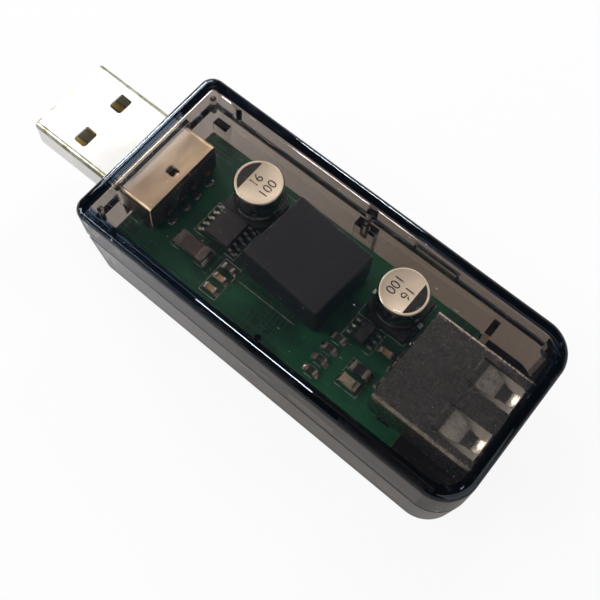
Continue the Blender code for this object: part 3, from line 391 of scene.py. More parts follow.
def paint_bend_light(piece, material, colour):
    """Marks the folded edges of a sheet metal piece, and paints the given tone on them in patches:
    painted shade where the tone is dark, wear and a painted highlight where it is light.
    """
    mark = piece.data.attributes.new("bend", "FLOAT", "FACE")
    for face in piece.data.polygons:
        mark.data[face.index].value = float(max(abs(part) for part in face.normal) < BENT)
    at_bend = wire(material, "Attribute", attribute_name="bend").outputs["Fac"]
    blotch = between(material, grain(material, position(material), 900.0), 0.3, 0.6, 0.5, 1.0)
    # The given tone is painted on the bends in patches: shade on the plug, highlight and wear on the
    # socket.
    bend_tone = reckon(material, "MULTIPLY", at_bend, blotch)
    worn = blend_colour(material, bend_tone, colour_so_far(material), colour)
    shader_of(material, Base_Color=worn)


def round_windows(shape):
    """Rounds the corners of the punched windows, whose upright edges are one sheet long."""
    corners = []
    for edge in shape.edges:
        first, second = (v.co for v in edge.verts)
        upright = math.hypot(first.x - second.x, first.y - second.y) < 0.00001
        inside = abs(first.y) < WINDOW_HALF_WIDTH and WINDOW_SPAN[0] < first.x < WINDOW_SPAN[1]
        if upright and inside and abs(abs(first.z - second.z) - SHEET) < SHEET / 5:
            corners.append(edge)
    bmesh.ops.bevel(
        shape,
        geom=corners,
        offset=WINDOW_CORNER,
        segments=5,
        profile=0.5,
        affect="EDGES",
        material=-1,
    )


def heat_tan_sheen_and_shade(material):
    """Tans the plating inside the casing with a painted diagonal sheen across it, and paints shade
    on the sides of the sheet there.
    """
    inside = between(material, coordinate(material, "X"), *STAIN_SPAN)
    # Painted sheen: diagonal streaks of light and dark tan.
    painted_sheen = grain(material, position(material, turn=0.7, stretch=(1, 0.35, 1)), 330.0, 2.0, 0.4)
    tan = blend_colour(material, between(material, painted_sheen, 0.36, 0.64), TAN_LIGHT, TAN_DARK)
    # Painted shade on the sides of the sheet, which face away from the top.
    flat = between(material, reckon(material, "ABSOLUTE", upward(material)), 0.55, 0.9)
    tan = blend_colour(material, flat, SIDE_SHADE_PAINTED, tan)
    stained = blend_colour(material, inside, colour_so_far(material), tan)
    shader_of(material, Base_Color=stained)


nickel_bright = plated_steel("plug_shell_nickel", PLUG_NICKEL, 0.30, 0.15, 0.95)
plug = finer("usb_plug_shell", 0.00005, nickel_bright, "plated_steel", cut=round_windows)
paint_bend_light(plug, nickel_bright, PLUG_BEND_SHADE)
heat_tan_sheen_and_shade(nickel_bright)

# Socket shell: the same strip, duller, with two long springs pressed out of its top and two out
# of its bottom, which narrow towards a curled tip, and two legs soldered into the board.
BEND = 0.0005
SOCKET_SEAT = 0.0057
MOUTH_SETBACK = 0.0012
SPRING_REACH = 0.0060
SPRING_ROOM = 0.0038
SPRING_EDGE = 0.001275
SPRING_ROOT_WIDTH, SPRING_TIP_WIDTH = 0.0032, 0.0017
SPRING_DROP, DOWN_OVER = 0.0008, 0.76
SPRING_CURL, CURL_FROM, CURL_OVER = 0.55, 0.80, 0.20
NARROW_FROM, NARROW_OVER = 0.30, 0.45
SPRING_SHEET = 0.0002
SPRING_LAP = 0.0001
LEG_START, LEG_LENGTH = 0.0017, 0.0016
LEG_TOP, LEG_BELOW = 0.0070, 0.0008
LEG_TAPER = 0.0004
LEG_SKIN = 0.00001
SOCKET_NICKEL = (0.27, 0.262, 0.255)
# Rubbed wear and painted highlight: the socket's bends are lightened as if they caught the light.
SOCKET_BEND_WEAR_AND_HIGHLIGHT = (0.85, 0.82, 0.74, 1)


def carve(piece, steps):
    """Joins and cuts shapes in turn, and leaves the result as the piece's own mesh."""
    tools = []
    for number, (operation, shape) in enumerate(steps):
        tool = to_object(shape, f"{piece.name}_tool_{number}")
        tools.append(tool)
        change = piece.modifiers.new(tool.name, "BOOLEAN")
        change.operation = operation
        change.solver = "EXACT"
        change.object = tool
    settle(piece)
    for tool in tools:
        bpy.data.objects.remove(tool)


def folded_box(low, high, radius):
    """A block along X with rounded long edges."""
    shape = bmesh.new()
    bar(shape, *zip(low, high))
    lengthwise = [e for e in shape.edges if abs((e.verts[0].co - e.verts[1].co).x) > 0.001]
    bmesh.ops.bevel(
        shape,
        geom=lengthwise,
        offset=radius,
        segments=6,
        profile=0.5,
        affect="EDGES",
        material=-1,
    )
    return shape


def spring_tongue(shape, root, middle, level, inward):
    """Adds one spring: a strip that bends inwards, narrows, and curls back at its tip."""
    made = bmesh.ops.create_grid(shape, x_segments=24, y_segments=2, size=1)["verts"]
    for vert in made:
        along = (vert.co.x + 1) / 2
        narrow = min(max((along - NARROW_FROM) / NARROW_OVER, 0.0), 1.0)
        half = (SPRING_ROOT_WIDTH + (SPRING_TIP_WIDTH - SPRING_ROOT_WIDTH) * narrow) / 2
        down = min(along / DOWN_OVER, 1.0)
        curl = max((along - CURL_FROM) / CURL_OVER, 0.0)
        depth = SPRING_DROP * (down * down * (3 - 2 * down) - SPRING_CURL * curl * curl)
        across = middle + vert.co.y * half
        vert.co = (root + SPRING_REACH * along, across, level + inward * depth)
    faces = list({face for vert in made for face in vert.link_faces})
    bmesh.ops.recalc_face_normals(shape, faces=faces)
    bmesh.ops.solidify(shape, geom=faces, thickness=SPRING_SHEET)


low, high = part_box("usb_socket_shell")
low = Vector((low[0], low[1], SOCKET_SEAT))
high = Vector(high)
socket = to_object(folded_box(low, high, BEND), "usb_socket_shell_folded")
hollow_low = low + Vector((-0.001, SHEET, SHEET))
hollow_high = high + Vector((0.001, -SHEET, -SHEET))
room = bmesh.new()
springs = bmesh.new()
tip = high.x - MOUTH_SETBACK
for side in (-1, 1):
    half = (high.y - low.y) / 2 - SPRING_EDGE - SPRING_ROOM / 2
    middle = (low.y + high.y) / 2 + side * half
    reach = (middle - SPRING_ROOM / 2, middle + SPRING_ROOM / 2)
    for outside, inward in ((high.z, -1), (low.z, 1)):
        depth = (outside - SHEET * 1.5, outside + SHEET * 1.5)
        bar(room, (tip - SPRING_REACH, tip + SHEET), reach, depth)
        level = outside + inward * SHEET / 2
        spring_tongue(springs, tip - SPRING_REACH - SPRING_LAP, middle, level, inward)
legs = bmesh.new()
for y in (low.y, high.y - SHEET):
    start = low.x + LEG_START
    across = (y + LEG_SKIN, y + SHEET - LEG_SKIN)
    verts = bar(legs, (start, start + LEG_LENGTH), across, (BOARD_LOW[2] - LEG_BELOW, LEG_TOP))
    for vert in verts:
        if vert.co.z < BOARD_LOW[2]:
            vert.co.x += math.copysign(LEG_TAPER, start + LEG_LENGTH / 2 - vert.co.x)
carve(
    socket,
    (
        ("DIFFERENCE", folded_box(hollow_low, hollow_high, BEND - SHEET + 0.00005)),
        ("DIFFERENCE", room),
        ("UNION", springs),
        ("UNION", legs),
    ),
)
soften(socket, 0.00004, angle=45)
nickel_dull = plated_steel(
    "socket_shell_nickel", SOCKET_NICKEL, 0.25, 0.06, dull=0.88, patch=2600.0, spread=0.05
)
paint_bend_light(socket, nickel_dull, SOCKET_BEND_WEAR_AND_HIGHLIGHT)
fit(socket, nickel_dull, "plated_steel", "usb_socket_shell")

# Insulators: moulded blocks that hold the contacts, slightly grainy from the mould.
# What stands between the two connectors is darkened with painted shade.
# The plug's insulator is a darker olive than the socket's, as painted shade for its place deep
# inside the shell.
INSULATORS = (("plug", (0.42, 0.40, 0.29)), ("socket", (0.62, 0.60, 0.54)))
TAILS = (-0.0240, 0.0142)
TAIL_EDGE = 0.0004


def moulded(name, colour, roughness, speckle=0.15):
    """Moulded plastic with a fine matt texture and slight unevenness of colour."""
    finish = new_finish(name)
    fine = grain(finish, position(finish), 9000.0, 3.0)
    broad = grain(finish, position(finish), 350.0, 3.0)
    uneven = between(finish, broad, 0.3, 0.7)
    shader_of(
        finish,
        Base_Color=blend_colour(finish, uneven, (*colour, 1), darker(colour, 1 - speckle)),
        Roughness=between(finish, fine, 0.2, 0.8, roughness - 0.06, roughness + 0.08),
        Normal=relief(finish, fine, 0.000012),
    )
    return finish


def paint_tail_shade(material, colour):
    """Painted shade over what stands between the two connectors."""
    middle, reach = (TAILS[0] + TAILS[1]) / 2, (TAILS[1] - TAILS[0]) / 2
    along = reckon(material, "SUBTRACT", coordinate(material, "X"), middle)
    unshaded = between(material, reckon(material, "ABSOLUTE", along), reach - TAIL_EDGE, reach)
    shader_of(material, Base_Color=blend_colour(material, unshaded, colour, colour_so_far(material)))


for end, colour in INSULATORS:
    block = moulded(f"{end}_insulator_plastic", colour, 0.42)
    # Painted shade: near black between the connectors.
    paint_tail_shade(block, (0.022, 0.022, 0.020, 1))
    finer(f"usb_{end}_insulator", 0.00008, block, "white_insulator")

# Contacts: stamped copper alloy strips with a thin gold flash, held in the insulators' grooves.
# Their tails between the connectors are darkened with painted shade.
gold = plated_steel("contact_gold", (0.86, 0.62, 0.26), 0.26, 0.1)
# Painted shade: the gold turns dark brown between the connectors.
paint_tail_shade(gold, (0.10, 0.085, 0.06, 1))
for end in ("plug", "socket"):
    for number in range(1, 5):
        finer(f"usb_{end}_contact_{number}", 0.00003, gold, "gold_contact")

# Power converter: a black plastic box potted with resin, on four tinned pins.
# It stands a little askew on the board.
# Its black is tinted blue, a painted reflection of the sky in the plate above it.
converter_black = moulded("converter_black", (0.0045, 0.0068, 0.0115), 0.42, 0.3)
finer("power_converter_block", 0.00018, converter_black, "black_plastic", steps=3)
tin = plated_steel("tinned_wire", (0.78, 0.77, 0.74), 0.34, 0.1)
for number in range(1, 5):
    finer(f"power_converter_pin_{number}", 0.00005, tin, "tinned_lead")

# Capacitors: aluminium cans, drawn and crimped over a rubber bung, on black moulded bases. The top
# is lacquered, and printed in black on the minus lead's side, with plain figures beside it.
CAN_CRIMP = 0.00030
CRIMP_HEIGHT, CRIMP_STEP = 0.0011, 0.00007
CAN_ROLL = 0.00030
CAN_DISH = 0.00006
DISH_INSET, DISH_EDGE = 0.00045, 0.00038
CAN_FOOT = 0.0002
CAN_STEPS = 72
CAN_LACQUER, CAN_LACQUER_STAINED = (1.0, 0.92, 0.78, 1), (0.92, 0.84, 0.70, 1)
# Painted reflection: the can's sides are dark as if they mirrored the dark board round them.
CAN_SIDE_PAINTED_REFLECTION = (0.30, 0.31, 0.30, 1)
MINUS_CHORD = 0.0014
PRINT_LIFT = 0.00001
FIGURES = (("100", 0.0010), ("16", -0.0008))
FIGURE_SIZE, FIGURE_LIFT = 0.00175, 0.000004
FIGURE_SHIFT = 0.0004


def can_profile(low, high, radius):
    """Half of a can's outline, from the middle of its top to the middle of its foot."""
    dish = high - CAN_DISH
    top = [(0.0, dish), (radius - DISH_INSET, dish), (radius - DISH_EDGE, high)]
    turns = [math.radians(step * 15) for step in range(7)]
    flat, level = radius - CAN_ROLL, high - CAN_ROLL
    roll = [(flat + CAN_ROLL * math.sin(a), level + CAN_ROLL * math.cos(a)) for a in turns]
    groove = []
    for step in range(6, -7, -1):
        pressed = CAN_CRIMP * (0.5 + 0.5 * math.cos(math.radians(step * 30)))
        groove.append((radius - pressed, low + CRIMP_HEIGHT + step * CRIMP_STEP))
    return top + roll + groove + [(radius, low + CAN_FOOT), (radius - CAN_FOOT, low), (0.0, low)]


def drawn_can(name, low, high, centre, radius):
    """The can, turned from its outline."""
    shape = bmesh.new()
    outline = can_profile(low, high, radius)
    verts = [shape.verts.new((centre.x + r, centre.y, z)) for r, z in outline]
    edges = [shape.edges.new(pair) for pair in zip(verts, verts[1:])]
    bmesh.ops.spin(
        shape,
        geom=verts + edges,
        cent=centre,
        axis=(0, 0, 1),
        angle=math.tau,
        steps=CAN_STEPS,
        use_merge=True,
    )
    bmesh.ops.remove_doubles(shape, verts=shape.verts[:], dist=WELD / 2)
    bmesh.ops.recalc_face_normals(shape, faces=shape.faces[:])
    piece = to_object(shape, name)
    piece.data.shade_smooth()
    piece.data.set_sharp_from_angle(angle=math.radians(50))
    return piece


def minus_print(name, face, centre, radius, away):
    """The black part of a round can top, cut off along a chord on one side."""
    shape = bmesh.new()
    bmesh.ops.create_circle(
        shape,
        cap_ends=True,
        segments=CAN_STEPS,
        radius=radius,
        matrix=Matrix.Translation((centre.x, centre.y, face)),
    )
    bmesh.ops.bisect_plane(
        shape,
        geom=shape.verts[:] + shape.edges[:] + shape.faces[:],
        plane_co=(centre.x + away * MINUS_CHORD, centre.y, face),
        plane_no=(-away, 0, 0),
        clear_outer=True,
    )
    top = bmesh.ops.extrude_face_region(shape, geom=shape.faces[:])
    lifted = [item for item in top["geom"] if isinstance(item, bmesh.types.BMVert)]
    bmesh.ops.translate(shape, verts=lifted, vec=(0, 0, PRINT_LIFT))
    bmesh.ops.recalc_face_normals(shape, faces=shape.faces[:])
    return to_object(shape, name)


def printed_figures(name, figures, place):
    """Plain figures as a thin mesh, put in their place."""
    words = bpy.data.curves.new(name, "FONT")
    words.body = figures
    words.align_x = "CENTER"
    words.align_y = "CENTER"
    words.size = FIGURE_SIZE
    words.extrude = FIGURE_LIFT
    holder = bpy.data.objects.new(name, words)
    bpy.context.scene.collection.objects.link(holder)
    depsgraph = bpy.context.evaluated_depsgraph_get()
    solid = bpy.data.meshes.new_from_object(holder.evaluated_get(depsgraph))
    bpy.data.objects.remove(holder)
    solid.transform(place)
    piece = bpy.data.objects.new(name, solid)
    bpy.context.scene.collection.objects.link(piece)
    return piece


can_metal = new_finish("can_aluminium")
drawn = grain(can_metal, position(can_metal, stretch=(1, 1, 0.08)), 2600.0, 3.0)
stains = between(can_metal, grain(can_metal, position(can_metal), 320.0, 3.0), 0.35, 0.7)
flat = between(can_metal, upward(can_metal), 0.80, 0.95)
lacquer = blend_colour(can_metal, stains, CAN_LACQUER, CAN_LACQUER_STAINED)
side_roughness = between(can_metal, drawn, 0.2, 0.8, 0.05, 0.12)
top_roughness = between(can_metal, flat, 0.0, 1.0, 0.0, 0.36)
shader_of(
    can_metal,
    Base_Color=blend_colour(can_metal, flat, CAN_SIDE_PAINTED_REFLECTION, lacquer),
    Metallic=between(can_metal, flat, 0.0, 1.0, 1.0, 0.1),
    Roughness=reckon(can_metal, "ADD", side_roughness, top_roughness),
    Normal=relief(can_metal, drawn, 0.000002),
)
print_black = moulded("can_print_black", (0.012, 0.012, 0.014), 0.5)
base_black = moulded("capacitor_base_black", (0.012, 0.012, 0.013), 0.5)
for number, away in ((1, -1), (2, 1)):
    node = f"capacitor_can_{number}"
    low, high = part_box(node)
    centre = Vector(((low[0] + high[0]) / 2, (low[1] + high[1]) / 2, 0))
    radius = (high[0] - low[0]) / 2
    face = high[2] - CAN_DISH
    can = drawn_can(f"{node}_drawn", low[2], high[2], centre, radius)
    fit(can, can_metal, "aluminium_can", node)
    minus = minus_print(f"capacitor_print_{number}", face, centre, radius - DISH_INSET, away)
    fit(minus, print_black, "black_plastic")
    turn = Matrix.Rotation(math.radians(-90 * away), 4, "Z")
    for row, (figures, line) in enumerate(FIGURES):
        x = centre.x - away * (FIGURE_SHIFT + line)
        place = Matrix.Translation((x, centre.y, face + FIGURE_LIFT)) @ turn
        inked = printed_figures(f"capacitor_figures_{number}_{row}", figures, place)
        fit(inked, print_black, "black_plastic")
    finer(f"capacitor_base_{number}", 0.00008, base_black, "black_plastic")
    for side in ("plus", "minus"):
        finer(f"capacitor_{number}_lead_{side}", 0.00003, tin, "tinned_lead")

# Chips and chip parts: black epoxy or fired ceramic bodies, with tinned leads or end caps.
# They are set on their pads and reflow soldered.
TINNED = (0.42, 0.40, 0.37)
FUSE_TINNED = (0.21, 0.19, 0.18)
CHIP_BODIES = (("usb_line_chip", 0.0039), ("regulator_chip", 0.0023), ("isolator_chip", 0.0075))
RESISTOR_BLACK = (0.030, 0.030, 0.032)
CERAMIC_BROWN = (0.33, 0.22, 0.13)
SMALL_PARTS = (
    ("series_resistor", "black_ceramic", RESISTOR_BLACK, TINNED),
    ("chip_resistor_1", "black_ceramic", RESISTOR_BLACK, TINNED),
    ("chip_resistor_2", "black_ceramic", RESISTOR_BLACK, TINNED),
    ("chip_resistor_3", "black_ceramic", RESISTOR_BLACK, TINNED),
    ("chip_resistor_4", "black_ceramic", RESISTOR_BLACK, TINNED),
    ("ceramic_capacitor_1", "brown_ceramic", CERAMIC_BROWN, TINNED),
    ("ceramic_capacitor_2", "brown_ceramic", CERAMIC_BROWN, TINNED),
    ("socket_side_capacitor", "brown_ceramic", CERAMIC_BROWN, TINNED),
    ("resettable_fuse", "red_ceramic", (0.060, 0.045, 0.040), FUSE_TINNED),
    ("protection_diode", "black_plastic", (0.020, 0.020, 0.022), TINNED),
    ("status_led", "led_resin", (0.34, 0.30, 0.23), TINNED),
)
CAP_SHARE, CAP_SLACK = 0.22, 0.00002
LED_DOME = 0.00041


def part_finish(name, colour, roughness, tinned=TINNED):
    """A body colour, and tinned metal on the faces that are marked as such."""
    finish = moulded(name, colour, roughness)
    metal = wire(finish, "Attribute", attribute_name="tinned").outputs["Fac"]
    blotch = between(finish, grain(finish, position(finish), 1400.0, 3.0), 0.3, 0.7)
    bright = blend_colour(finish, blotch, (*tinned, 1), darker(tinned, 0.6))
    coloured = blend_colour(finish, metal, colour_so_far(finish), bright)
    shader_of(finish, Base_Color=coloured, Metallic=metal)
    return finish


def tin_faces(piece, tinned):
    """Marks the faces of a part that are tinned metal."""
    mark = piece.data.attributes.new("tinned", "FLOAT", "FACE")
    for face in piece.data.polygons:
        mark.data[face.index].value = float(tinned(face.center))


chip_black = part_finish("chip_black", (0.016, 0.016, 0.018), 0.5)
for node, body_width in CHIP_BODIES:
    piece = finer(node, 0.00003, chip_black, "black_plastic")
    low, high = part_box(node)
    middle = (low[0] + high[0]) / 2
    tin_faces(piece, lambda at: abs(at.x - middle) > body_width / 2)
for node, slot, colour, tinned in SMALL_PARTS:
    piece = finer(node, 0.00004, part_finish(node + "_body", colour, 0.38, tinned), slot)
    low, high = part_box(node)
    middle, reach = (low[0] + high[0]) / 2, (high[0] - low[0]) * (0.5 - CAP_SHARE)
    dome = high[2] - LED_DOME if node == "status_led" else high[2] + 1
    tin_faces(piece, lambda at: abs(at.x - middle) > reach - CAP_SLACK and at.z < dome)

# Solder: bright tin alloy that climbs every end cap and lead, and makes a cone round every pin.
# It is lumpy and has dark flux in its hollows.
SOLDER_RISE = 0.45
CAP_SOLDER, CAP_SIDE, CAP_TOE = (0.00012, 0.00042), 0.00006, 0.00008
LEAD_SOLDER, LEAD_SIDE, LEAD_TOE = (0.0004, 0.0003), 0.00018, 0.00006
LEAD_SOLDER_HEIGHT = 0.00018
CHIP_LEADS = (("usb_line_chip", 0.00097, 5), ("regulator_chip", 0.00095, 3))
TAIL_INSET, PIN_BEHIND_EDGE = 0.0001, 0.00028
CONE_BELOW = (-0.0007, 0.0008, 0.00035)
CONE_ABOVE = (0.00025, 0.0007, 0.00045)
SOLDER_BRIGHT, SOLDER_FLUX = (0.34, 0.33, 0.31, 1), (0.12, 0.115, 0.11, 1)


def solder_wedge(shape, x, side, reach, across, top, toe):
    """Adds solder that climbs a lead or an end cap and runs out to a thin toe on its pad."""
    under, out = reach
    for vert in bar(shape, (x - side * under, x + side * out), across, (BOARD_FACE, top)):
        if (vert.co.x - x) * side > 0 and vert.co.z > BOARD_FACE + toe:
            vert.co.z = BOARD_FACE + toe


def solder_cone(shape, x, y, face, height, foot, top):
    """Adds the cone of solder round a pin, from a face of the board outwards."""
    turned = Matrix.Rotation(math.pi, 4, "X") if height < 0 else Matrix.Identity(4)
    bmesh.ops.create_cone(
        shape,
        cap_ends=True,
        segments=20,
        radius1=foot,
        radius2=top,
        depth=abs(height),
        matrix=Matrix.Translation((x, y, face + height / 2)) @ turned,
    )


solder = bmesh.new()
for node, *_ in SMALL_PARTS:
    low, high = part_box(node)
    across = (low[1] - CAP_SIDE, high[1] + CAP_SIDE)
    top = low[2] + (high[2] - low[2]) * SOLDER_RISE
    for side, x in ((-1, low[0]), (1, high[0])):
        solder_wedge(solder, x, side, CAP_SOLDER, across, top, CAP_TOE)
for node, pitch, count in CHIP_LEADS:
    low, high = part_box(node)
    for side, x in ((-1, low[0]), (1, high[0])):
        for number in range(count):
            y = (low[1] + high[1]) / 2 + pitch * (number - (count - 1) / 2)
            across = (y - LEAD_SIDE, y + LEAD_SIDE)
            top = BOARD_FACE + LEAD_SOLDER_HEIGHT
            solder_wedge(solder, x, side, LEAD_SOLDER, across, top, LEAD_TOE)
tails = []
for end in ("plug", "socket"):
    for number in range(1, 5):
        low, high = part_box(f"usb_{end}_contact_{number}")
        x = high[0] - TAIL_INSET if end == "plug" else low[0] + TAIL_INSET
        tails.append((x, (low[1] + high[1]) / 2))
for number in range(1, 5):
    low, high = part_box(f"power_converter_pin_{number}")
    tails.append(((low[0] + high[0]) / 2, high[1] - PIN_BEHIND_EDGE))
for x, y in tails:
    solder_cone(solder, x, y, BOARD_LOW[2], *CONE_BELOW)
    solder_cone(solder, x, y, BOARD_FACE, *CONE_ABOVE)
joint_tin = new_finish("solder_tin")
lumps = grain(joint_tin, position(joint_tin), 1700.0, 3.0)
hollows = between(joint_tin, lumps, 0.3, 0.7)
shader_of(
    joint_tin,
    Base_Color=blend_colour(joint_tin, hollows, SOLDER_BRIGHT, SOLDER_FLUX),
    Metallic=1.0,
    Roughness=between(joint_tin, lumps, 0.2, 0.8, 0.18, 0.38),
    Normal=relief(joint_tin, lumps, 0.00003),
)
solder_piece = to_object(solder, "board_solder_joints")
rounded = solder_piece.modifiers.new("edges", "BEVEL")
rounded.width = 0.00006
rounded.segments = 2
settle(solder_piece)
solder_piece.data.shade_smooth()
fit(solder_piece, joint_tin, "tinned_lead")

# Casing: two shells moulded in smoked clear polycarbonate, glossy inside and out, with small radii
# on every edge. The lower one carries the board on posts and stops, and the upper one has ribs,
# guide pins and corner posts under its plate, and snaps over the lower one's lip.
SEAM = 0.0082
SHELL_GAP = 0.0003
CASE_TOP = 0.0140
PLATE_UNDERSIDE = 0.0125
FLOOR_TOP = 0.0012
CASE_WALL = 0.0013
LIP = 0.0010
LIP_INSET, STEP_INSET = 0.0008, 0.0005
PLUG_END_CORNER, SOCKET_END_CORNER = 0.0018, 0.0043
LEVELS = (
    (0.0, -0.0260, 0.0279, 0.0119, 0.0124),
    (SEAM, -0.0275, 0.0280, 0.0123, 0.0128),
    (CASE_TOP, -0.0278, 0.0278, 0.0125, 0.0125),
)
TOP_EDGE, FLOOR_EDGE, INNER_EDGE = 0.0009, 0.0007, 0.0003
PLUG_NOTCH = ((-0.0300, -0.0249), (-0.0065, 0.0065), (0.00545, 0.01055))
SOCKET_MOUTH = ((0.0252, 0.0300), (-0.007325, 0.006425), (0.0054, 0.0116))
CATCH_SPAN = (0.0057, 0.0117)
CATCH_LAP = 0.0005
CATCH_DEPTH, CATCH_RISE = 0.0006, 0.0024
POCKET_SPAN = (SEAM - 0.0001, 0.0109)
RIB_PLACES = (-0.0223, -0.0009)
RIB_RADIUS, RIB_LAP = 0.00075, 0.0002
CORNER_POSTS = ((0.0253, 0.0107, 0.0009), (-0.0253, 0.0100, 0.0004))
GUIDE_X, GUIDE_Y = -0.0009, 0.0103
PIN_FOOT, PIN_RADIUS = 0.0067, 0.0004
GUIDE_BLOCK = 0.0015
BORE_FOOT, BORE_TOP, BORE_RADIUS = 0.0064, 0.0092, 0.00055
BLOCK_FOOT = 0.0009
PLUG_STOP_LENGTH, PLUG_STOP_RISE = 0.0019, 0.0014
SOCKET_STOP_LENGTH, SOCKET_STOP_RISE, SOCKET_STOP_DEPTH = 0.0012, 0.0016, 0.0024
REST_FROM_END, REST_FROM_SIDE = 0.0065, 0.0016
REST_TOP_RADIUS, REST_FOOT_RADIUS = 0.0010, 0.0011
RING_WIDTH = 0.00062
PLATE_STEP, PLATE_SINK = 0.00010, 0.00004
RIM_REACH = 0.0018
RIM_DEPTH, FOOT_DEPTH = 0.001, 0.0008
SKIN = 0.00008
MOUTH_WALL = 0.0264
CLEAR, WALL_SHADE, SEAM_SHADE, END_SHADE, FLOOR_SHADE, RIM_SHADE = 0.0, 0.25, 0.42, 0.80, 0.97, 1.0
SMOKE_COLOUR, SMOKE_DENSITY, SMOKE_IOR = (0.46, 0.37, 0.31, 1), 280.0, 1.5
CLEAR_TINT = (0.92, 0.89, 0.86, 1)
RIM_TINT, RIM_PAINTED_SKY = (0.010, 0.010, 0.013, 1), (0.030, 0.085, 0.230, 1)
SKY_SHEEN = (0.72, 0.84, 1.0, 1)
LAMP_TINT = (0.97, 0.96, 0.95, 1)
NAVY_SLANT, NAVY_SPAN, NAVY_RISE = 0.45, (-0.010, -0.002), 0.0003
HAZE_ROUGHNESS, SCRATCH_ROUGHNESS = 0.035, 0.12
SCRATCH_DEPTH = 0.000006


def case_outline(height):
    """The casing's two ends, and its half width at each, at a height."""
    low, high = LEVELS[:2] if height < SEAM else LEVELS[1:]
    share = (height - low[0]) / (high[0] - low[0])
    return [a + (b - a) * share for a, b in zip(low[1:], high[1:])]


def half_width(x, height):
    """Half of the casing's width at a place along it."""
    start, end, near, far = case_outline(height)
    return near + (far - near) * (x - start) / (end - start)


def case_block(low, high, inset, edge=0.0, edge_at=None):
    """A block that fills the casing's outline less an inset, with its upright corners rounded."""
    shape = bmesh.new()
    bmesh.ops.create_cube(shape, size=2)
    for vert in shape.verts:
        height = high if vert.co.z > 0 else low
        start, end, near, far = case_outline(min(max(height, 0.0), CASE_TOP))
        x, half = (end - inset, far - inset) if vert.co.x > 0 else (start + inset, near - inset)
        vert.co = (x, math.copysign(half, vert.co.y), height)
    for sign, radius, steps in ((-1, PLUG_END_CORNER, 10), (1, SOCKET_END_CORNER, 18)):
        upright = [
            e
            for e in shape.edges
            if abs((e.verts[0].co - e.verts[1].co).z) > (high - low) / 2
            and e.verts[0].co.x * sign > 0
        ]
        bmesh.ops.bevel(
            shape,
            geom=upright,
            offset=max(radius - inset, 0.0004),
            segments=steps,
            profile=0.5,
            affect="EDGES",
            material=-1,
        )
    if edge:
        ring = [e for e in shape.edges if all(abs(v.co.z - edge_at) < 0.00001 for v in e.verts)]
        bmesh.ops.bevel(
            shape, geom=ring, offset=edge, segments=6, profile=0.5, affect="EDGES", material=-1
        )
    bmesh.ops.recalc_face_normals(shape, faces=shape.faces[:])
    return shape


def post(shape, x, y, low, high, radius, foot=None):
    """Adds a round upright post, tapered where its foot has another radius."""
    bmesh.ops.create_cone(
        shape,
        cap_ends=True,
        segments=40,
        radius1=radius if foot is None else foot,
        radius2=radius,
        depth=high - low,
        matrix=Matrix.Translation((x, y, (low + high) / 2)),
    )


def end_cuts():
    """The notch for the plug and the mouth for the socket."""
    shape = bmesh.new()
    bar(shape, *PLUG_NOTCH)
    bar(shape, *SOCKET_MOUTH)
    return shape


def inner_wall(x, height=SEAM):
    """How far the wall's inner face is from the middle, at a place along the casing."""
    return half_width(x, height) - CASE_WALL


catch = inner_wall(sum(CATCH_SPAN) / 2) + CATCH_LAP
foot = SEAM + SHELL_GAP
upper = to_object(case_block(foot, CASE_TOP, 0.0, TOP_EDGE, CASE_TOP), "smoked_upper_shell")
rib_foot = foot + LIP + SHELL_GAP
root = PLATE_UNDERSIDE + SHELL_GAP
pockets = bmesh.new()
grown = bmesh.new()
pins = bmesh.new()
for side in (-1, 1):
    reach = (CATCH_SPAN[0] - SHELL_GAP, CATCH_SPAN[1] + SHELL_GAP)
    across = (side * (catch - CASE_WALL), side * (catch + SHELL_GAP))
    bar(pockets, reach, across, POCKET_SPAN)
    for x in RIB_PLACES:
        y = side * (inner_wall(x, CASE_TOP) + RIB_LAP)
        post(grown, x, y, rib_foot, root, RIB_RADIUS)
    for x, y, radius in CORNER_POSTS:
        post(grown, x, side * y, rib_foot, root, radius)
    post(pins, GUIDE_X, side * GUIDE_Y, PIN_FOOT, root, PIN_RADIUS)
inside = case_block(foot - 0.001, PLATE_UNDERSIDE, CASE_WALL, INNER_EDGE, PLATE_UNDERSIDE)
carve(
    upper,
    (
        ("DIFFERENCE", inside),
        ("DIFFERENCE", case_block(foot - 0.001, foot + LIP, STEP_INSET)),
        ("DIFFERENCE", pockets),
        ("UNION", grown),
        ("UNION", pins),
        ("DIFFERENCE", end_cuts()),
    ),
)

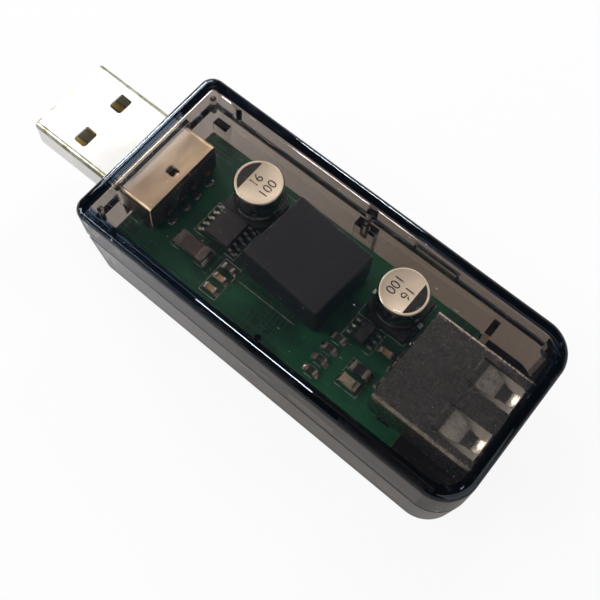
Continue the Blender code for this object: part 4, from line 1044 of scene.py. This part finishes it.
lower = to_object(case_block(0.0, SEAM, 0.0, FLOOR_EDGE, 0.0), "smoked_lower_shell")
board_side = BOARD_HIGH[1] + SHELL_GAP
blocks = bmesh.new()
rests = bmesh.new()
bores = bmesh.new()
for side in (-1, 1):
    across = (side * board_side, side * (inner_wall(GUIDE_X) + SHELL_GAP))
    bar(blocks, (GUIDE_X - GUIDE_BLOCK, GUIDE_X + GUIDE_BLOCK), across, (BLOCK_FOOT, SEAM))
    post(bores, GUIDE_X, side * GUIDE_Y, BORE_FOOT, BORE_TOP, BORE_RADIUS)
    reach = (BOARD_LOW[0] - SHELL_GAP, BOARD_LOW[0] + PLUG_STOP_LENGTH)
    across = (side * board_side, side * (inner_wall(BOARD_LOW[0]) + SHELL_GAP))
    bar(blocks, reach, across, (BLOCK_FOOT, BOARD_FACE + PLUG_STOP_RISE))
    reach = (BOARD_HIGH[0] + SHELL_GAP, BOARD_HIGH[0] + SOCKET_STOP_LENGTH)
    wall = inner_wall(BOARD_HIGH[0])
    across = (side * (wall - SOCKET_STOP_DEPTH), side * (wall + SHELL_GAP))
    bar(blocks, reach, across, (BLOCK_FOOT, BOARD_FACE + SOCKET_STOP_RISE))
    y = side * (BOARD_HIGH[1] - REST_FROM_SIDE)
    for x in (BOARD_LOW[0] + REST_FROM_END, BOARD_HIGH[0] - REST_FROM_END):
        top = BOARD_LOW[2] - SHELL_GAP
        post(rests, x, y, BLOCK_FOOT, top, REST_TOP_RADIUS, REST_FOOT_RADIUS)
    across = (side * (catch - CATCH_DEPTH), side * catch)
    bar(blocks, CATCH_SPAN, across, (SEAM - LIP, SEAM + CATCH_RISE))
inside = case_block(FLOOR_TOP, SEAM + 0.002, CASE_WALL, INNER_EDGE, FLOOR_TOP)
carve(
    lower,
    (
        ("UNION", case_block(SEAM - 0.002, SEAM + LIP, LIP_INSET)),
        ("DIFFERENCE", inside),
        ("UNION", blocks),
        ("UNION", rests),
        ("DIFFERENCE", bores),
        ("DIFFERENCE", end_cuts()),
    ),
)


def ring_face(height):
    """Cuts the flat face at a height into a ring over the walls and the plate inside it."""

    def cut_ring(piece):
        shape = bmesh.new()
        shape.from_mesh(piece.data)
        shape.normal_update()
        flat = [
            f
            for f in shape.faces
            if abs(f.normal.z) > 0.999 and abs(f.calc_center_median().z - height) < 0.00001
        ]
        bmesh.ops.inset_region(
            shape, faces=flat, thickness=PLATE_STEP, depth=-PLATE_SINK, use_even_offset=True
        )
        bmesh.ops.inset_region(shape, faces=flat, thickness=RING_WIDTH, use_even_offset=True)
        shape.to_mesh(piece.data)
        shape.free()

    return cut_ring


def depth_in(x, y, z):
    """How far a place is from the casing's outside."""
    start, end, near, far = case_outline(min(max(z, 0.0), CASE_TOP))
    from_side = half_width(x, z) - abs(y)
    from_end = end - x if x > 0 else x - start
    corner = SOCKET_END_CORNER if x > 0 else PLUG_END_CORNER
    if from_side < corner and from_end < corner:
        return corner - math.hypot(corner - from_side, corner - from_end)
    return min(from_side, from_end)


def mark_walls_and_shade(piece):
    """Marks how dark each face's plastic looks: most on the rim, where walls are seen on edge, with
    painted shade on the socket's end and on the lower shell's floor plate.
    """
    mark = piece.data.attributes.new("wall", "FLOAT", "FACE")
    for face in piece.data.polygons:
        x, y, z = face.center
        upright = abs(face.normal.z) < 0.2
        outermost = z > CASE_TOP - RIM_DEPTH or z < FOOT_DEPTH
        depth = depth_in(x, y, z)
        shade = CLEAR
        if depth < CASE_WALL - SKIN or (outermost and depth < RIM_REACH):
            # Painted shade: the whole socket end is as dark as the rim.
            if x > MOUTH_WALL:
                shade = RIM_SHADE
            elif upright:
                shade = WALL_SHADE
            else:
                shade = RIM_SHADE if outermost else SEAM_SHADE
        # Painted shade on the inner walls at the socket end.
        elif x > MOUTH_WALL - CASE_WALL and upright:
            shade = END_SHADE
        # Painted shade on the floor plate, under the board.
        elif z < FLOOR_TOP + 0.0002 and not upright:
            shade = FLOOR_SHADE
        mark.data[face.index].value = shade


def smoked_clear(name):
    """Smoked clear plastic that darkens with the depth seen through it and by the marks on its
    faces, some of which are painted shade, with a painted navy sky reflection on its rim, and lets
    lamps in.
    """
    finish = new_finish(name)
    wall_and_shade_mark = wire(finish, "Attribute", attribute_name="wall").outputs["Fac"]
    haze = grain(finish, position(finish), 700.0, 4.0)
    ripple = grain(finish, position(finish), 160.0, 2.0)
    hairs = [
        between(finish, grain(finish, position(finish, turn, stretch), scale, 5.0, 0.7), 0.66, 0.70)
        for turn, stretch, scale in ((0.9, (1, 22, 1), 240.0), (-0.5, (1, 26, 1), 260.0))
    ]
    scratches = reckon(finish, "MAXIMUM", *hairs)
    hazy = between(finish, haze, 0.45, 0.85, 0.0, HAZE_ROUGHNESS)
    scratched = reckon(finish, "MULTIPLY", scratches, SCRATCH_ROUGHNESS)
    # Painted reflection: a navy blue on top of the rim, towards the far side and the plug's end, as
    # if it mirrored the sky.
    across = reckon(finish, "MULTIPLY", coordinate(finish, "X"), NAVY_SLANT)
    slant = reckon(finish, "SUBTRACT", coordinate(finish, "Y"), across)
    height = coordinate(finish, "Z")
    at_top = between(finish, height, PLATE_UNDERSIDE, PLATE_UNDERSIDE + NAVY_RISE)
    painted_sky_reflection = reckon(finish, "MULTIPLY", between(finish, slant, *NAVY_SPAN), at_top)
    rim = blend_colour(finish, painted_sky_reflection, RIM_TINT, RIM_PAINTED_SKY)
    shader = shader_of(
        finish,
        Base_Color=blend_colour(finish, wall_and_shade_mark, CLEAR_TINT, rim),
        Transmission_Weight=1.0,
        IOR=SMOKE_IOR,
        Specular_Tint=SKY_SHEEN,
        Roughness=reckon(finish, "ADD", hazy, scratched),
        Normal=relief(finish, reckon(finish, "SUBTRACT", ripple, scratches), SCRATCH_DEPTH),
    )
    rays = wire(finish, "LightPath").outputs
    clear = wire(finish, "BsdfTransparent", {"Color": LAMP_TINT})
    lamp_ray = reckon(finish, "MAXIMUM", rays["Is Shadow Ray"], rays["Is Diffuse Ray"])
    surfaces = {0: lamp_ray, 1: shader.outputs["BSDF"], 2: clear.outputs["BSDF"]}
    mixed = wire(finish, "MixShader", surfaces)
    depth = wire(finish, "VolumeAbsorption", {"Color": SMOKE_COLOUR, "Density": SMOKE_DENSITY})
    output = finish.node_tree.nodes["Material Output"]
    finish.node_tree.links.new(mixed.outputs[0], output.inputs["Surface"])
    finish.node_tree.links.new(depth.outputs[0], output.inputs["Volume"])
    return finish


smoke = smoked_clear("case_smoked_polycarbonate")
for shell, node, height in (
    (upper, "case_top_shell", CASE_TOP),
    (lower, "case_bottom_shell", 0.0),
):
    soften(shell, 0.00008, angle=20, rim=ring_face(height))
    mark_walls_and_shade(shell)
    fit(shell, smoke, "smoked_case", node)

# Setting: a pale floor under the stick, white round about, soft lamps and the camera above it.
# In reflections the floor glows as a painted reflection, lighter at the plug's end and brown at the
# socket's end.
FLOOR_REACH = 1.2
FLOOR_SKIN = 0.00002
PAINTED_REFLECTION_FADE = (-0.030, 0.004)
PAINTED_REFLECTION_LIGHT, PAINTED_REFLECTION_BROWN = (0.62, 0.62, 0.64, 1), (0.22, 0.185, 0.15, 1)
WHITE = (1, 1, 1, 1)
FLOOR_GLOW = (("Is Camera Ray", 0.90), ("Is Glossy Ray", 0.55), ("Is Transmission Ray", 0.75))
SKY_FADE = {"From Min": -0.35, "From Max": 0.60, "To Min": 1.0, "To Max": 0.10}
SKY_COOL, COOL_FROM = (0.60, 0.76, 1.0, 1), (0.15, 0.35)
LAMPS = (
    ("window", (-0.42, -0.30, 0.42), 0.35, 3.2),
    ("plug_side", (-0.36, 0.23, 0.32), 0.20, 0.8),
    ("right_fill", (0.45, -0.10, 0.30), 0.60, 1.1),
    ("far_strip", (-0.12, 0.45, 0.26), 0.10, 1.2),
    ("plug_strip", (-0.46, 0.18, 0.25), 0.10, 1.0),
)
CAMERA_LENS = 55.513
CAMERA_PLACE = (0.021245, -0.036064, 0.110960)
CAMERA_TURN = (21.4625, -2.3110, 39.3195)
CAMERA_NEAR = 0.01

floor_grid = bmesh.new()
bmesh.ops.create_grid(floor_grid, x_segments=8, y_segments=8, size=FLOOR_REACH)
bmesh.ops.translate(floor_grid, verts=floor_grid.verts[:], vec=(0, 0, cad_box[0][2] - FLOOR_SKIN))
floor = to_object(floor_grid, "floor")

paper = new_finish("floor_paper")
paper_shader = shader_of(paper, Base_Color=(0.70, 0.70, 0.70, 1), Roughness=0.9)
rays = wire(paper, "LightPath").outputs
# Painted reflection: what reflections see of the floor goes from light to brown along the stick.
fade = between(paper, coordinate(paper, "X"), *PAINTED_REFLECTION_FADE)
painted_reflection_tone = blend_colour(paper, fade, PAINTED_REFLECTION_LIGHT, PAINTED_REFLECTION_BROWN)
seen_as = blend_colour(paper, rays["Is Glossy Ray"], WHITE, painted_reflection_tone)
glow = wire(paper, "Emission", {"Color": seen_as, "Strength": 1.0})
share = 0.0
for kind, part in FLOOR_GLOW:
    share = reckon(paper, "MAXIMUM", reckon(paper, "MULTIPLY", rays[kind], part), share)
mixed = wire(paper, "MixShader", {0: share, 1: paper_shader.outputs[0], 2: glow.outputs[0]})
output = paper.node_tree.nodes["Material Output"]
paper.node_tree.links.new(mixed.outputs[0], output.inputs["Surface"])
floor.data.materials.append(paper)

world = bpy.data.worlds.new("studio")
bpy.context.scene.world = world
world.use_nodes = True
direction = wire(world, "TexCoord").outputs["Generated"]
height = wire(world, "SeparateXYZ", {"Vector": direction}).outputs["Z"]
sky = wire(world, "MapRange", {"Value": height, **SKY_FADE}, interpolation_type="SMOOTHERSTEP")
camera_ray = wire(world, "LightPath").outputs["Is Camera Ray"]
strength = wire(world, "Mix", {0: camera_ray, 2: sky.outputs["Result"], 3: 1.0}).outputs[0]
colour = blend_colour(world, between(world, height, *COOL_FROM), WHITE, SKY_COOL)
backdrop = world.node_tree.nodes["Background"]
world.node_tree.links.new(strength, backdrop.inputs["Strength"])
world.node_tree.links.new(colour, backdrop.inputs["Color"])

for name, place, size, power in LAMPS:
    lamp = bpy.data.lights.new(name, "AREA")
    lamp.shape = "SQUARE"
    lamp.size = size
    lamp.energy = power
    holder = bpy.data.objects.new(name, lamp)
    holder.location = place
    holder.rotation_euler = Vector(place).to_track_quat("Z", "Y").to_euler()
    bpy.context.scene.collection.objects.link(holder)

camera_data = bpy.data.cameras.new("camera")
camera_data.sensor_width = 36.0
camera_data.lens = CAMERA_LENS
camera_data.clip_start = CAMERA_NEAR
camera = bpy.data.objects.new("camera", camera_data)
camera.location = CAMERA_PLACE
camera.rotation_euler = Euler([math.radians(angle) for angle in CAMERA_TURN])
bpy.context.scene.collection.objects.link(camera)
bpy.context.scene.camera = camera
bpy.context.scene.view_settings.view_transform = "Standard"
